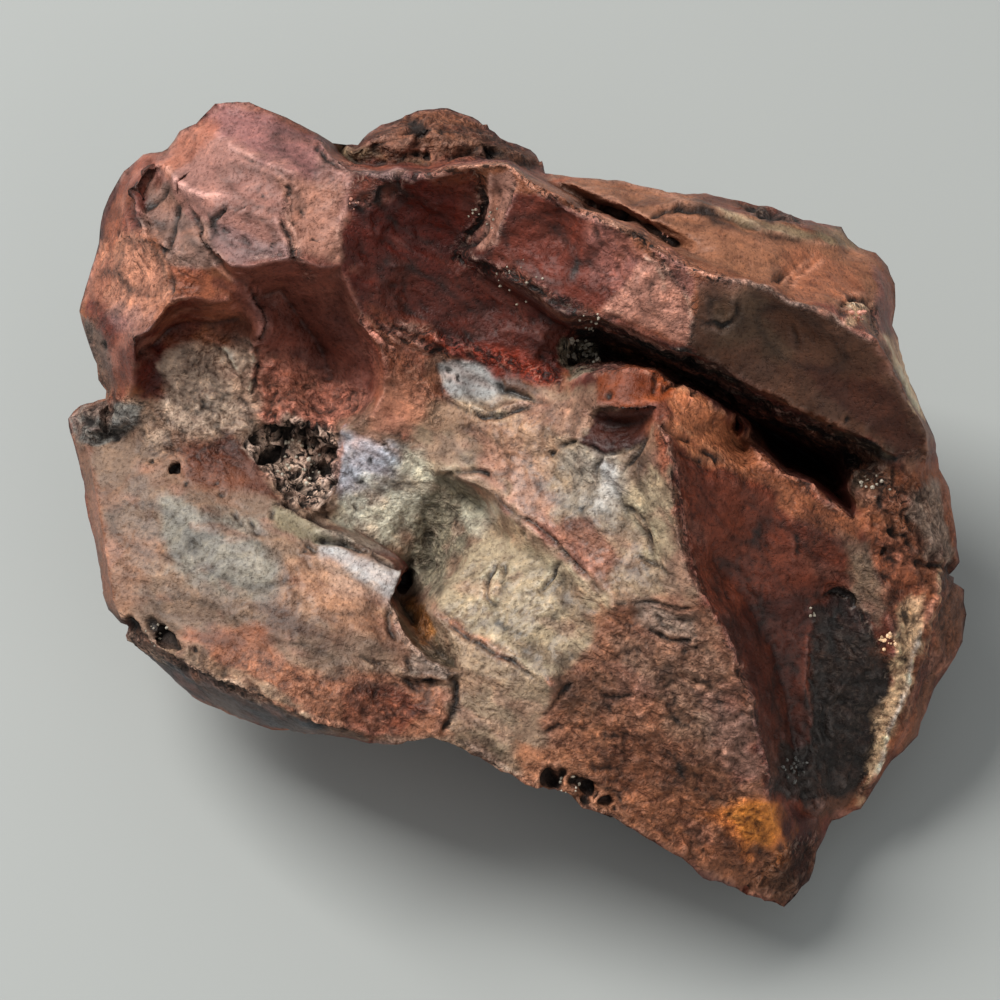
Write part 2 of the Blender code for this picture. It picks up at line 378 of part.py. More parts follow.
def relief(rim, breaks, step, hole, swells, stretch, seed):
    """One side of the stone: the break lines are held, the faces between them hang as a
    stretched skin, then the swells and a little roughness are added."""
    rng = np.random.default_rng(seed)
    points, joins = [rim], []
    count = len(rim)
    joins += [(i, (i + 1) % count) for i in range(count)]
    for line in breaks:
        joins += [(count + i, count + i + 1) for i in range(len(line) - 1)]
        points.append(line)
        count += len(line)
    if hole is not None:
        joins += [(count + i, count + (i + 1) % len(hole)) for i in range(len(hole))]
        points.append(hole)
        count += len(hole)
    held = np.vstack(points)
    fixed = spread(held[:, :2], stretch)
    free = lattice(step, fixed[:len(rim)], fixed, rng)
    if hole is not None:
        free = free[~inside(free, fixed[-len(hole):])]
    flat = np.vstack([fixed, free])
    verts, edges, faces, from_verts, _, _ = delaunay_2d_cdt(
        [tuple(p) for p in flat], joins, [], 1, 0.4)
    flat_in = np.array([tuple(v) for v in verts])
    heights = np.full(len(flat_in), np.nan)
    kept = np.zeros(len(flat_in), dtype=int)
    for i, origins in enumerate(from_verts):
        known = [o for o in origins if o < len(held)]
        if known:
            heights[i] = held[known, 2].max() if min(known) >= len(rim) else held[min(known), 2]
            kept[i] = 2 if min(known) < len(rim) else 1
    # stretched skin: each free point is the mean of its neighbours, nearer ones count more
    a, b = np.array(edges).T
    pull = 1.0 / np.maximum(np.hypot(*(flat_in[a] - flat_in[b]).T), 3.0)
    is_free = np.isnan(heights)
    index = np.cumsum(is_free) - 1
    matrix = np.zeros((is_free.sum(), is_free.sum()))
    target = np.zeros(is_free.sum())
    for p, q in ((a, b), (b, a)):
        mine = is_free[p]
        np.add.at(matrix, (index[p[mine]], index[p[mine]]), pull[mine])
        both = mine & is_free[q]
        np.add.at(matrix, (index[p[both]], index[q[both]]), -pull[both])
        edge = mine & ~is_free[q]
        np.add.at(target, index[p[edge]], pull[edge] * heights[q[edge]])
    heights[is_free] = np.linalg.solve(matrix, target)
    if stretch is not None:
        flat_in = np.column_stack([np.interp(flat_in[:, 0], stretch[0][1], stretch[0][0]),
                                   np.interp(flat_in[:, 1], stretch[1][1], stretch[1][0])])
    # swells press only on the points away from the outline and the flat spot
    soft = (kept < 2).astype(float)
    if hole is not None:
        soft[inside(flat_in, hole[:, :2] + 0.0)] = 0.0
        near = np.sqrt(((flat_in[:, None] - hole[None, :, :2]) ** 2).sum(axis=2).min(axis=1))
        soft[near < 2.0] = 0.0
    for u, v, radius, lift in swells:
        away = ((flat_in[:, 0] - u) ** 2 + (flat_in[:, 1] - v) ** 2) / radius ** 2
        heights += soft * lift * np.clip(1.0 - away, 0.0, 1.0) ** 2
    heights += soft * rng.normal(0.0, ROUGHNESS_MM, len(heights)).clip(-0.3, 0.3)
    return place(np.column_stack([flat_in, heights])), [tuple(f) for f in faces], flat_in, heights


def stone():
    """Front relief and back relief welded along the outline."""
    rim = divided(RIM, FRONT_STEP, closed=True)
    front_lines = [divided(line, FRONT_STEP) for line in FRONT_BREAKS.values()]
    back_lines = [divided(on_plan(line), BACK_STEP * 0.8) for line in BACK_BREAKS.values()]
    spot = divided(on_plan(FLAT_SPOT), BACK_STEP, closed=True)
    front = relief(rim, front_lines, FRONT_STEP, None, FRONT_SWELLS, None, 11)
    back = relief(rim, back_lines, BACK_STEP, spot, BACK_SWELLS, BACK_STRETCH, 23)

    mesh = bmesh.new()
    for points, faces, _, _ in (front, back):
        made = [mesh.verts.new(p) for p in points]
        for face in faces:
            mesh.faces.new([made[i] for i in face])
    bmesh.ops.remove_doubles(mesh, verts=mesh.verts, dist=1e-6)
    bmesh.ops.recalc_face_normals(mesh, faces=mesh.faces)
    return mesh, front, back


# ---- build ----
for old in list(bpy.data.objects):
    bpy.data.objects.remove(old)

mesh, front, back = stone()
low = min(v.co.z for v in mesh.verts)
left = min(v.co.x for v in mesh.verts), max(v.co.x for v in mesh.verts)
deep = min(v.co.y for v in mesh.verts), max(v.co.y for v in mesh.verts)
bmesh.ops.translate(mesh, verts=mesh.verts,
                    vec=(-sum(left) / 2, -sum(deep) / 2, -low))
data = bpy.data.meshes.new("jasper_stone")
mesh.to_mesh(data)
mesh.free()

body = bpy.data.objects.new("jasper_stone", data)
group = bpy.data.collections.new("rough_jasper")
bpy.context.scene.collection.children.link(group)
group.objects.link(body)

jasper = bpy.data.materials.new("jasper")
jasper.use_nodes = True
look = jasper.node_tree.nodes["Principled BSDF"]
look.inputs["Base Color"].default_value = (0.19, 0.07, 0.045, 1.0)
look.inputs["Roughness"].default_value = 0.42
data.materials.append(jasper)
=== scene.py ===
import math
from functools import partial
from itertools import combinations
from types import SimpleNamespace

import bmesh
import bpy
import numpy as np
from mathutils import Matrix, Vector


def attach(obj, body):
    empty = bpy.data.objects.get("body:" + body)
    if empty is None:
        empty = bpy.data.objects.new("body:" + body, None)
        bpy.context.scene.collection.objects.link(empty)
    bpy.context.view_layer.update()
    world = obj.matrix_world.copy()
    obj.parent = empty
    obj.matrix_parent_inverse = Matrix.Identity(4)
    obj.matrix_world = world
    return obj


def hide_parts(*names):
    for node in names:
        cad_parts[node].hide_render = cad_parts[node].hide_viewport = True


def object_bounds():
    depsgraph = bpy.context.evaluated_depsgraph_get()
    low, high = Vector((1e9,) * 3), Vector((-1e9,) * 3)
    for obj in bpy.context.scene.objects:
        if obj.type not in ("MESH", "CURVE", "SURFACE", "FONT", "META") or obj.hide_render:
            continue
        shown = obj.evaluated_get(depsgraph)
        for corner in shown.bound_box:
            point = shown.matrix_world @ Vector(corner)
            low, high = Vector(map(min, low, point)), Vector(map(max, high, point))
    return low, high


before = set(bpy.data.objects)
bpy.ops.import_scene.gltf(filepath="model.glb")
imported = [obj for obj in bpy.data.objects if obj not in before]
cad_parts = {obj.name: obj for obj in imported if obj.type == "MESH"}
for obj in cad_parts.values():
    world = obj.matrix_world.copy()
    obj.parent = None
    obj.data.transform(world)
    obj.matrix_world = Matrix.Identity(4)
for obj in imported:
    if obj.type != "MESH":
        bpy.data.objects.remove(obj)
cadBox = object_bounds()
print("frame loaded")

mm = 0.001

# the stone's broken front leans back, and its marks are placed on a slanted plan:
# u to the right and v down over 1000 units, along lines of sight falling onto the stone
plan = {
    "unit": 0.00009,
    "slope": math.radians(60.0),
    "distance": 0.300,
    "height": 0.024,
    "shift": (-0.00159, -0.00172, 0.0),
    "perMm": 11,
}

right = np.array([1.0, 0.0, 0.0])
up = np.array([0.0, math.sin(plan["slope"]), math.cos(plan["slope"])])
toward = np.array([0.0, -math.cos(plan["slope"]), math.sin(plan["slope"])])
planMiddle = np.array([0.0, 0.0, plan["height"]]) + np.array(plan["shift"])
sightFrom = planMiddle + toward * plan["distance"]


def planPlace(points):
    # u and v where the line from the eye point through each point meets the plan
    line = points - sightFrom
    reach = plan["distance"] / -(line @ toward)
    u = 500.0 + (line @ right) * reach / plan["unit"]
    v = 500.0 - (line @ up) * reach / plan["unit"]
    return np.column_stack([u, v])


def facing(points, normals):
    # cosine of the angle between the surface's normal and the line to the eye point
    toEye = sightFrom - points
    return np.sum(normals * toEye, axis=1) / np.linalg.norm(toEye, axis=1)


def smoothStep(low, high, value):
    # 0 below low, 1 above high, t*t*(3-2t) in between
    t = np.clip((value - low) / (high - low), 0.0, 1.0)
    return t * t * (3.0 - 2.0 * t)


def hashed(cell, seed):
    # a fixed pseudo-random number from 0 to 1 for each whole-number cell
    key = (cell[..., 0] * 374761393 + cell[..., 1] * 668265263 + cell[..., 2] * 2147483647
           + seed * 1274126177) & 0xFFFFFFFF
    key = ((key ^ (key >> 13)) * 1274126177) & 0xFFFFFFFF
    key = ((key ^ (key >> 16)) * 2246822519) & 0xFFFFFFFF
    return ((key ^ (key >> 15)) & 0xFFFFFF) / 16777216.0


def softNoise(points, size, seed=0):
    # gradient noise from about -1 to 1: a random slope at each corner of a cubic lattice of
    # the given size, and the corners' planes blended with a smooth curve
    spot = points / size + seed * 7.137
    cell = np.floor(spot).astype(np.int64)
    part = spot - cell
    fade = part ** 3 * (part * (part * 6 - 15) + 10)
    total = np.zeros(len(points))
    for corner in np.ndindex(2, 2, 2):
        at = cell + np.array(corner)
        slope = np.stack([hashed(at, seed * 3 + k) * 2 - 1 for k in range(3)], axis=1)
        weight = np.prod(np.where(np.array(corner) == 1, fade, 1 - fade), axis=1)
        total += weight * np.sum(slope * (part - np.array(corner)), axis=1)
    return total * 1.6


def noiseColumns(points, size, seeds):
    return np.column_stack([softNoise(points, size, seed) for seed in seeds])


def layeredNoise(points, size, layers, seed=0):
    # noise summed over layers, each half the size and half the height of the one before
    total = np.zeros(len(points))
    for k in range(layers):
        total += softNoise(points, size / 2 ** k, seed + k) / 2 ** k
    return total


def pillowNoise(points, size, layers, seed=0):
    # rounded pillows with sharp creases between: |noise| less its mean, summed over layers
    total = np.zeros(len(points))
    for k in range(layers):
        total += (np.abs(softNoise(points, size / 2 ** k, seed + k)) - 0.27) / 2 ** k
    return total


def cellNoise(points, size, seed=0):
    # distance to the nearest of one random point in each cell of a cubic lattice, over size
    spot = points / size
    cell = np.floor(spot).astype(np.int64)
    nearest = np.full(len(points), 9.0)
    for corner in np.ndindex(3, 3, 3):
        at = cell + np.array(corner) - 1
        seedPoint = at + np.stack([hashed(at, seed * 5 + k) for k in range(3)], axis=1)
        nearest = np.minimum(nearest, np.linalg.norm(spot - seedPoint, axis=1))
    return nearest


def nearby(places, outline, margin):
    # numbers of the points within an outline's own rectangle, widened by a margin
    outline = np.asarray(outline, dtype=float)
    low, high = outline.min(axis=0) - margin, outline.max(axis=0) + margin
    return np.nonzero(np.all((places > low) & (places < high), axis=1))[0]


def lineDistance(places, line):
    # distance to a polyline, the side of it (+ to the left of its run), and how far along
    line = np.asarray(line, dtype=float)
    best = np.full(len(places), 1e9)
    side = np.ones(len(places))
    along = np.zeros(len(places))
    for k, (a, b) in enumerate(zip(line[:-1], line[1:])):
        run = b - a
        t = np.clip((places - a) @ run / (run @ run), 0.0, 1.0)
        away = places - a - t[:, None] * run
        gap = np.hypot(away[:, 0], away[:, 1])
        cross = run[0] * (places[:, 1] - a[1]) - run[1] * (places[:, 0] - a[0])
        closer = gap < best
        best = np.where(closer, gap, best)
        side = np.where(closer, np.sign(-cross), side)
        along = np.where(closer, (k + t) / (len(line) - 1), along)
    return best, side, along


def ringDistance(places, ring):
    # signed distance to a closed outline, minus inside
    ring = np.asarray(ring, dtype=float)
    best = lineDistance(places, np.vstack([ring, ring[:1]]))[0]
    x, y = places[:, 0], places[:, 1]
    inside = np.zeros(len(places), dtype=bool)
    for a, b in zip(ring, np.roll(ring, -1, axis=0)):
        spans = (a[1] > y) != (b[1] > y)
        rise = b[1] - a[1] if b[1] != a[1] else 1e-9
        inside ^= spans & (a[0] + (y - a[1]) * (b[0] - a[0]) / rise > x)
    return np.where(inside, -best, best)


def within(places, outline, fade):
    # 1 inside a closed outline and 0 outside it, fading over its border
    return smoothStep(fade, -fade, ringDistance(places, outline))


# the skin, a finer copy of the solid's mesh: edge lengths and noise heights in metres, and
# the crease angle as a difference of unit normals
skin = {
    "merge": 2e-6,
    "frontEdge": 0.00034,
    "fineEdge": 0.000240,
    "hiddenEdge": 0.00090,
    "firstEdge": 0.0030,
    "edgeSlack": 1.42,
    "rounds": 6,
    "rim": (-0.08, 0.10),
    "softening": 0.45,
    "creaseAngle": 0.13,
    "bowlSizes": (0.0042, 0.0019),
    "bowlHeight": 0.00022,
    "patchSize": 0.009,
    "rippleSize": 0.0019,
    "rippleHeight": 0.00010,
    "grainSize": 0.0006,
    "grainHeight": 0.00003,
    "wrinkling": 2.0,
    "wanderSize": 0.0035,
    "fineSize": 0.0012,
    "swirlSize": 0.004,
    "swirlReach": 0.0011,
    "ribWidth": 0.17,
    "flatSpot": 0.0012,
    "fillLimits": (-0.0003, 0.0020),
    "wornPull": 0.6,
    "backRings": 8,
}


def stoneMesh():
    # the solid's mesh, merged, as arrays of points and triangles
    merged = bmesh.new()
    merged.from_mesh(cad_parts["jasper_stone"].data)
    bmesh.ops.remove_doubles(merged, verts=merged.verts, dist=skin["merge"])
    bmesh.ops.triangulate(merged, faces=merged.faces)
    mesh = bpy.data.meshes.new("merged")
    merged.to_mesh(mesh)
    merged.free()
    points = np.empty(3 * len(mesh.vertices), dtype=np.float32)
    mesh.vertices.foreach_get("co", points)
    faces = np.empty(len(mesh.loops), dtype=np.int32)
    mesh.loops.foreach_get("vertex_index", faces)
    bpy.data.meshes.remove(mesh)
    return points.reshape(-1, 3).astype(float), faces.reshape(-1, 3).astype(np.int64)


def edgesOf(faces):
    # each edge once, as a pair of point numbers
    return np.unique(np.sort(np.vstack([faces[:, [0, 1]], faces[:, [1, 2]], faces[:, [2, 0]]]),
                             axis=1), axis=0)


def splitLong(points, faces, wanted):
    # every edge longer than wanted at its middle is halved, and each triangle is cut into
    # two, three or four to meet the new middles
    sides = np.sort(np.stack([faces, np.roll(faces, -1, axis=1)], axis=2), axis=2)
    edges, where = np.unique(sides.reshape(-1, 2), axis=0, return_inverse=True)
    where = where.reshape(-1, 3)
    middles = (points[edges[:, 0]] + points[edges[:, 1]]) / 2
    length = np.linalg.norm(points[edges[:, 0]] - points[edges[:, 1]], axis=1)
    cut = length > (wanted[edges[:, 0]] + wanted[edges[:, 1]]) / 2
    number = np.full(len(edges), -1)
    number[cut] = len(points) + np.arange(cut.sum())
    count = cut[where].sum(axis=1)
    long = np.where(cut[where], length[where], 0.0)
    # turn each triangle so that its longest cut edge, or its one uncut edge, comes first
    first = np.where(count == 2, np.argmin(cut[where], axis=1), np.argmax(long, axis=1))
    order = (first[:, None] + np.arange(3)) % 3
    a, b, c = np.take_along_axis(faces, order, axis=1).T
    ab, bc, ca = np.take_along_axis(number[where], order, axis=1).T
    parts = [faces[count == 0]]
    for cuts, corners in ((1, ((a, ab, c), (ab, b, c))),
                          (2, ((bc, c, ca), (a, b, bc), (a, bc, ca))),
                          (3, ((a, ab, ca), (ab, b, bc), (ca, bc, c), (ab, bc, ca)))):
        parts += [np.column_stack(t)[count == cuts] for t in corners]
    return np.vstack([points, middles[cut]]), np.vstack(parts)


def pointNormals(points, faces):
    # mean of the faces' normals round each point, larger faces counting more
    across = np.cross(points[faces[:, 1]] - points[faces[:, 0]],
                      points[faces[:, 2]] - points[faces[:, 0]])
    normals = np.zeros_like(points)
    for k in range(3):
        np.add.at(normals, faces[:, k], across)
    return normals / np.maximum(np.linalg.norm(normals, axis=1), 1e-18)[:, None]


def frontMask(turned):
    # 1 where the stone faces the eye point, 0 behind
    return smoothStep(*skin["rim"], turned)


def softenedPoints(points, faces):
    # each point moves towards its neighbours' mean, and a neighbour across a crease pulls
    # less: its weight is exp(-(difference of normals / crease angle) squared)
    a, b = edgesOf(faces).T
    normals = pointNormals(points, faces)
    turn = np.linalg.norm(normals[a] - normals[b], axis=1)
    pull = np.exp(-(turn / skin["creaseAngle"]) ** 2)
    total = np.full(len(points), 1e-6)
    shift = np.zeros_like(points)
    np.add.at(total, a, pull)
    np.add.at(total, b, pull)
    np.add.at(shift, a, pull[:, None] * (points[b] - points[a]))
    np.add.at(shift, b, pull[:, None] * (points[a] - points[b]))
    sure = np.clip(total / 3.0, 0.0, 1.0)
    return points + skin["softening"] * sure[:, None] * shift / total[:, None]


def bulge(points, faces, normals):
    # how far each point stands out of its neighbours' mean along its normal, over their spacing
    a, b = edgesOf(faces).T
    mean = np.zeros_like(points)
    count = np.zeros(len(points))
    gap = np.zeros(len(points))
    length = np.linalg.norm(points[a] - points[b], axis=1)
    for p, q in ((a, b), (b, a)):
        np.add.at(mean, p, points[q])
        np.add.at(count, p, 1.0)
        np.add.at(gap, p, length)
    mean /= count[:, None]
    out = np.sum((points - mean) * normals, axis=1) / (gap / count)
    for _ in range(2):
        near = np.zeros(len(points))
        np.add.at(near, a, out[b])
        np.add.at(near, b, out[a])
        out = 0.5 * out + 0.5 * near / count
    return out


def roundTheBack(points, faces):
    # 0 in front and at the rim, rising to 1 eight edges round the back
    near = (facing(points, pointNormals(points, faces)) > -0.05).astype(float)
    a, b = edgesOf(faces).T
    for _ in range(skin["backRings"]):
        spread = near.copy()
        np.maximum.at(spread, a, near[b] - 1 / skin["backRings"])
        np.maximum.at(spread, b, near[a] - 1 / skin["backRings"])
        near = spread
    return smoothStep(0.15, 0.85, 1.0 - near)


# worn-down stretches: rounds of averaging, fade in plan units, outline
wornPlaces = [
    (60, 6, [(652, 226), (690, 232), (742, 262), (736, 276), (690, 262), (652, 242)]),
    (50, 6, [(722, 404), (748, 414), (768, 440), (758, 452), (736, 440), (722, 424)]),
    (14, 4, [(596, 414), (654, 412), (654, 428), (632, 440), (606, 442), (592, 432)]),
]


def wornPoints(points, faces, away):
    # inside each outline every point moves to its neighbours' mean, round after round;
    # sharp tips anywhere are blunted, and hollows of the hidden back fill up, in the same way
    places = planPlace(points)
    normals = pointNormals(points, faces)
    turned = facing(points, normals)
    hidden = away * smoothStep(-0.05, -0.35, turned)
    jobs = [(60, hidden), (3, 0.8 * smoothStep(0.30, 0.55, bulge(points, faces, normals)))]
    for rounds, fade, outline in wornPlaces:
        here = nearby(places, outline, fade)
        share = np.zeros(len(points))
        share[here] = within(places[here], outline, fade)
        jobs.append((rounds, share * (turned > -0.5)))
    for k, (rounds, share) in enumerate(jobs):
        a, b = edgesOf(faces[np.any(share[faces] > 0, axis=1)]).T
        moved = points
        for _ in range(rounds):
            total = np.full(len(points), 1e-9)
            shift = np.zeros_like(points)
            for p, q in ((a, b), (b, a)):
                total += np.bincount(p, minlength=len(points))
                for axis in range(3):
                    shift[:, axis] += np.bincount(p, (moved[q] - moved[p])[:, axis],
                                                  len(points))
            moved = moved + skin["wornPull"] * share[:, None] * shift / total[:, None]
        if k == 0:
            # behind, hollows fill up but edges hardly shrink
            out = np.sum((moved - points) * normals, axis=1)
            moved = points + normals * (hidden * np.clip(out, *skin["fillLimits"]))[:, None]
        points = moved
    return points


def newRelief(points, normals, away):
    # the fields that each kind of mark adds to: depth in metres along the normal, and the
    # masks that the colours and the finish read; bent and shaken are the points' places on
    # the plan, moved about by noise so that no outline or run comes out straight
    places = planPlace(points)
    wander = noiseColumns(points, skin["wanderSize"], (41, 42))
    fine = noiseColumns(points, skin["fineSize"], (43, 44))
    blank = {name: np.zeros(len(points))
             for name in ("depth", "dark", "crust", "folds", "flecks", "pale")}
    return SimpleNamespace(
        points=points, normals=normals, away=away, places=places, fine=fine,
        front=frontMask(facing(points, normals)), bent=places + 5.0 * wander + 2.0 * fine,
        shaken=places + 2.2 * wander + 1.6 * fine,
        swirl=noiseColumns(points, skin["swirlSize"], (45, 46, 47)) * skin["swirlReach"],
        **blank)


def nearRun(relief, run, margin):
    # the points near a run, their distance to it in mm, their side of it and how far along
    here = nearby(relief.places, run, margin)
    gap, side, along = lineDistance(relief.shaken[here], run)
    return here, gap * plan["unit"] / mm, side, along


def nearSpot(relief, place, radius, shake):
    # the points near a round mark, and their distance to its middle in mm
    here = nearby(relief.places, [place], radius * 24 + 6)
    at = relief.bent[here] + shake * relief.fine[here]
    gap = np.hypot(at[:, 0] - place[0], at[:, 1] - place[1]) * plan["unit"] / mm
    return here, gap


def tapered(along, rate, least=0.0):
    # 0 at both ends of a run and 1 from a part of its length inwards
    return np.minimum(1.0, rate * np.minimum(along, 1.0 - along) + least)


def raiseTo(field, here, values):
    field[here] = np.maximum(field[here], values)


def addFlakeBowls(relief):
    # shell-shaped flake scars: squared distance to the nearest of many scattered points, so
    # shallow bowls meet in sharp ridges
    points, stirred = relief.points, relief.points + relief.swirl
    bowls, smallBowls = (np.minimum(cellNoise(stirred, size, seed), 1.0) ** 2
                         for size, seed in zip(skin["bowlSizes"], (3, 9)))
    patchy = smoothStep(-0.5, 0.5, softNoise(points, skin["patchSize"], 13))
    relief.depth += skin["bowlHeight"] * (1.5 * bowls * patchy + 0.5 * smallBowls - 0.5)
    relief.depth += skin["rippleHeight"] * pillowNoise(stirred, skin["rippleSize"], 3, 11)
    relief.depth += skin["grainHeight"] * softNoise(points, skin["grainSize"], 17)


# wrinkled stretches: run of the wrinkles in degrees from the right, downwards, their spacing
# in mm, how much longer than wide, height in mm, fade in plan units, outline
wrinkles = [
    (12, 0.85, 1.6, 0.055, 20, [(100, 470), (230, 500), (400, 566), (408, 650), (300, 660),
        (110, 590)]),
    (30, 1.0, 1.4, 0.13, 16, [(140, 400), (200, 330), (256, 345), (260, 420), (230, 480),
        (140, 460)]),
    (-20, 1.05, 1.5, 0.18, 12, [(250, 350), (300, 366), (366, 390), (366, 424), (320, 432),
        (262, 424), (244, 396)]),
    (34, 1.3, 4.0, 0.11, 14, [(352, 186), (480, 176), (484, 214), (462, 256), (560, 322),
        (540, 384), (434, 352), (356, 310)]),
    (14, 0.95, 5.0, 0.15, 8, [(372, 316), (470, 336), (560, 350), (560, 392), (500, 372),
        (434, 356)]),
    (40, 1.2, 1.8, 0.1, 10, [(500, 188), (554, 196), (690, 258), (690, 350), (606, 312),
        (480, 262)]),
    (24, 1.5, 3.5, 0.08, 10, [(546, 172), (700, 200), (896, 284), (880, 322), (715, 266)]),
    (62, 1.0, 2.2, 0.085, 16, [(440, 402), (600, 398), (655, 466), (676, 598), (613, 606),
        (520, 526)]),
    (-35, 0.95, 1.8, 0.09, 14, [(470, 548), (581, 575), (613, 608), (551, 688), (500, 764),
        (440, 740), (436, 616)]),
    (22, 1.15, 1.7, 0.15, 20, [(560, 690), (613, 612), (700, 612), (752, 700), (770, 850),
        (770, 900), (640, 836), (520, 780)]),
    (-10, 1.1, 1.6, 0.12, 16, [(180, 640), (300, 660), (440, 660), (458, 738), (330, 730),
        (200, 690)]),
    (-24, 1.6, 3.0, 0.24, 8, [(340, 148), (392, 118), (448, 104), (505, 132), (545, 165),
        (506, 160), (400, 168), (352, 164)]),
    (48, 1.3, 1.6, 0.1, 12, [(666, 384), (706, 396), (766, 455), (862, 527), (896, 640),
        (820, 820), (768, 790), (716, 613), (676, 500)]),
    (75, 1.6, 1.5, 0.16, 8, [(842, 592), (808, 642), (815, 740), (780, 790), (817, 820),
        (872, 770), (890, 660)]),
    (55, 1.2, 1.6, 0.16, 12, [(848, 462), (905, 462), (960, 560), (960, 640), (920, 700),
        (860, 800), (894, 640), (866, 530)]),
    (8, 0.8, 1.4, 0.09, 12, [(340, 436), (410, 430), (440, 470), (400, 560), (330, 516)]),
    (-30, 1.1, 1.6, 0.08, 12, [(215, 104), (262, 108), (345, 170), (341, 267), (205, 245),
        (150, 165)]),
    (60, 1.2, 1.4, 0.1, 10, [(96, 250), (128, 205), (206, 262), (190, 300), (134, 338),
        (86, 332)]),
]


def addWrinkles(relief):
    # pillow noise in two sizes and soft waves, drawn out along the wrinkles' run
    for angle, spacing, stretch, height, fade, outline in wrinkles:
        here = nearby(relief.places, outline, 2 * fade + 8)
        share = relief.front[here] * within(relief.bent[here], outline, fade)
        run = math.cos(math.radians(angle)) * right - math.sin(math.radians(angle)) * up
        at = relief.points[here] + relief.swirl[here]
        at = at + (1 / stretch - 1) * (at @ run)[:, None] * run
        fold = (1.5 * pillowNoise(at, spacing * mm, 1, 21)
                + 0.9 * pillowNoise(at, spacing * 0.55 * mm, 1, 23)
                + 0.5 * softNoise(at, spacing * 2.6 * mm, 25))
        relief.depth[here] += share * height * skin["wrinkling"] * mm * fold
        # the wrinkles' troughs are darkened: painted shade in the creases
        relief.dark[here] += share * min(1.0, height * 3.5) * smoothStep(-0.25, -0.55, fold)
        raiseTo(relief.folds, here, share * min(1.0, height / 0.16))


# the hidden sides: noise sizes in metres, heights in mm
hiddenSides = {
    "shellSize": 0.0130,
    "shellHeight": 1.7,
    "lumpSize": 0.004,
    "lumpHeight": 0.20,
    "pillowSize": 0.0034,
    "pillowHeight": 0.16,
    "seamSize": 0.0160,
    "cleftDepth": 0.5,
    "folds": 0.30,
    "stainSize": 0.003,
    "crustSize": 0.011,
}


def addHiddenSides(relief):
    # behind, broad shell bowls and noise, and seams where a broad noise crosses zero
    look = hiddenSides
    points = relief.points
    stirred, twiceStirred = points + relief.swirl, points + 2 * relief.swirl
    back = 1.0 - relief.front
    behind = relief.away * smoothStep(-0.15, -0.55, facing(points, relief.normals))
    shells = np.minimum(cellNoise(twiceStirred, look["shellSize"], 35), 1.0) ** 2
    relief.depth += back * mm * look["lumpHeight"] * layeredNoise(points, look["lumpSize"],
                                                                  3, 23)
    relief.depth += behind * mm * look["shellHeight"] * (shells - 0.35)
    relief.depth += back * look["pillowHeight"] * mm * pillowNoise(
        stirred, look["pillowSize"], 2, 29)
    seam = np.abs(softNoise(twiceStirred, look["seamSize"], 39))
    cleft = behind * smoothStep(0.055, 0.015, seam)
    relief.depth -= look["cleftDepth"] * mm * cleft
    relief.folds += look["folds"] * back
    relief.flecks += behind * 0.35 * smoothStep(0.10, 0.04, seam)
    # stains darken the shells here and there, and the seams' clefts are darkened as painted shade
    relief.dark += behind * 0.30 * smoothStep(0.35, 0.75, shells) * smoothStep(
        -0.2, 0.4, layeredNoise(points, look["stainSize"], 3, 37)) + 0.75 * cleft
    relief.crust += back * smoothStep(
        0.0, 0.55, layeredNoise(points, look["crustSize"], 3, 31)) * 0.8


# rough stretches: fade in plan units, height in mm, lump size in mm, outline
roughPlaces = {
    "ventRim": (10, 0.34, 1.1, [(250, 420), (290, 412), (340, 430), (344, 480), (326, 514),
        (288, 510), (254, 470)]),
    "backLump": (8, 0.12, 1.8, [(340, 148), (395, 116), (448, 104), (505, 132), (545, 165),
        (506, 160), (400, 168), (356, 166)]),
    "slotLip": (6, 0.3, 1.0, [(566, 318), (640, 334), (723, 372), (790, 408), (870, 452),
        (862, 474), (800, 440), (730, 408), (650, 366), (570, 372)]),
    "crust": (7, 0.22, 1.2, [(66, 415), (82, 400), (110, 394), (144, 402), (140, 428), (104, 446),
        (72, 440)]),
    "leftStrip": (7, 0.18, 1.2, [(78, 310), (92, 320), (96, 352), (110, 392), (98, 392),
        (80, 340)]),
    "rightLump": (12, 0.24, 1.5, [(846, 462), (905, 462), (950, 500), (956, 560), (905, 566),
        (866, 528)]),
    "frontRidge": (6, 0.16, 0.9, [(652, 420), (678, 446), (684, 500), (694, 560), (722, 612),
        (742, 648), (756, 700), (774, 780), (758, 782), (738, 700), (716, 640), (690, 600),
        (668, 520), (656, 460)]),
    "wrinkledRed": (14, 0.14, 1.1, [(262, 350), (300, 372), (366, 392), (372, 414), (330, 430),
        (270, 424), (246, 392)]),
    "lowerRim": (8, 0.16, 1.2, [(118, 612), (180, 640), (300, 700), (440, 716), (560, 770),
        (640, 826), (620, 830), (480, 764), (330, 736), (200, 690), (124, 640)]),
    "tip": (8, 0.22, 1.4, [(750, 888), (770, 858), (816, 836), (816, 880), (786, 912)]),
    "hackles": (8, 0.14, 0.9, [(352, 316), (384, 322), (470, 352), (500, 372), (440, 362),
        (444, 400), (420, 420), (380, 380)]),
    "blackPatch": (14, 0.12, 1.6, [(842, 600), (822, 640), (818, 700), (830, 780), (866, 760),
        (890, 680)]),
    "hollowOlive": (14, 0.14, 1.0, [(430, 480), (470, 490), (500, 540), (470, 556), (432, 600),
        (400, 570), (412, 510)]),
    "lowerMiddle": (30, 0.15, 1.05, [(560, 640), (700, 640), (750, 740), (770, 840), (700, 860),
        (560, 760)]),
}


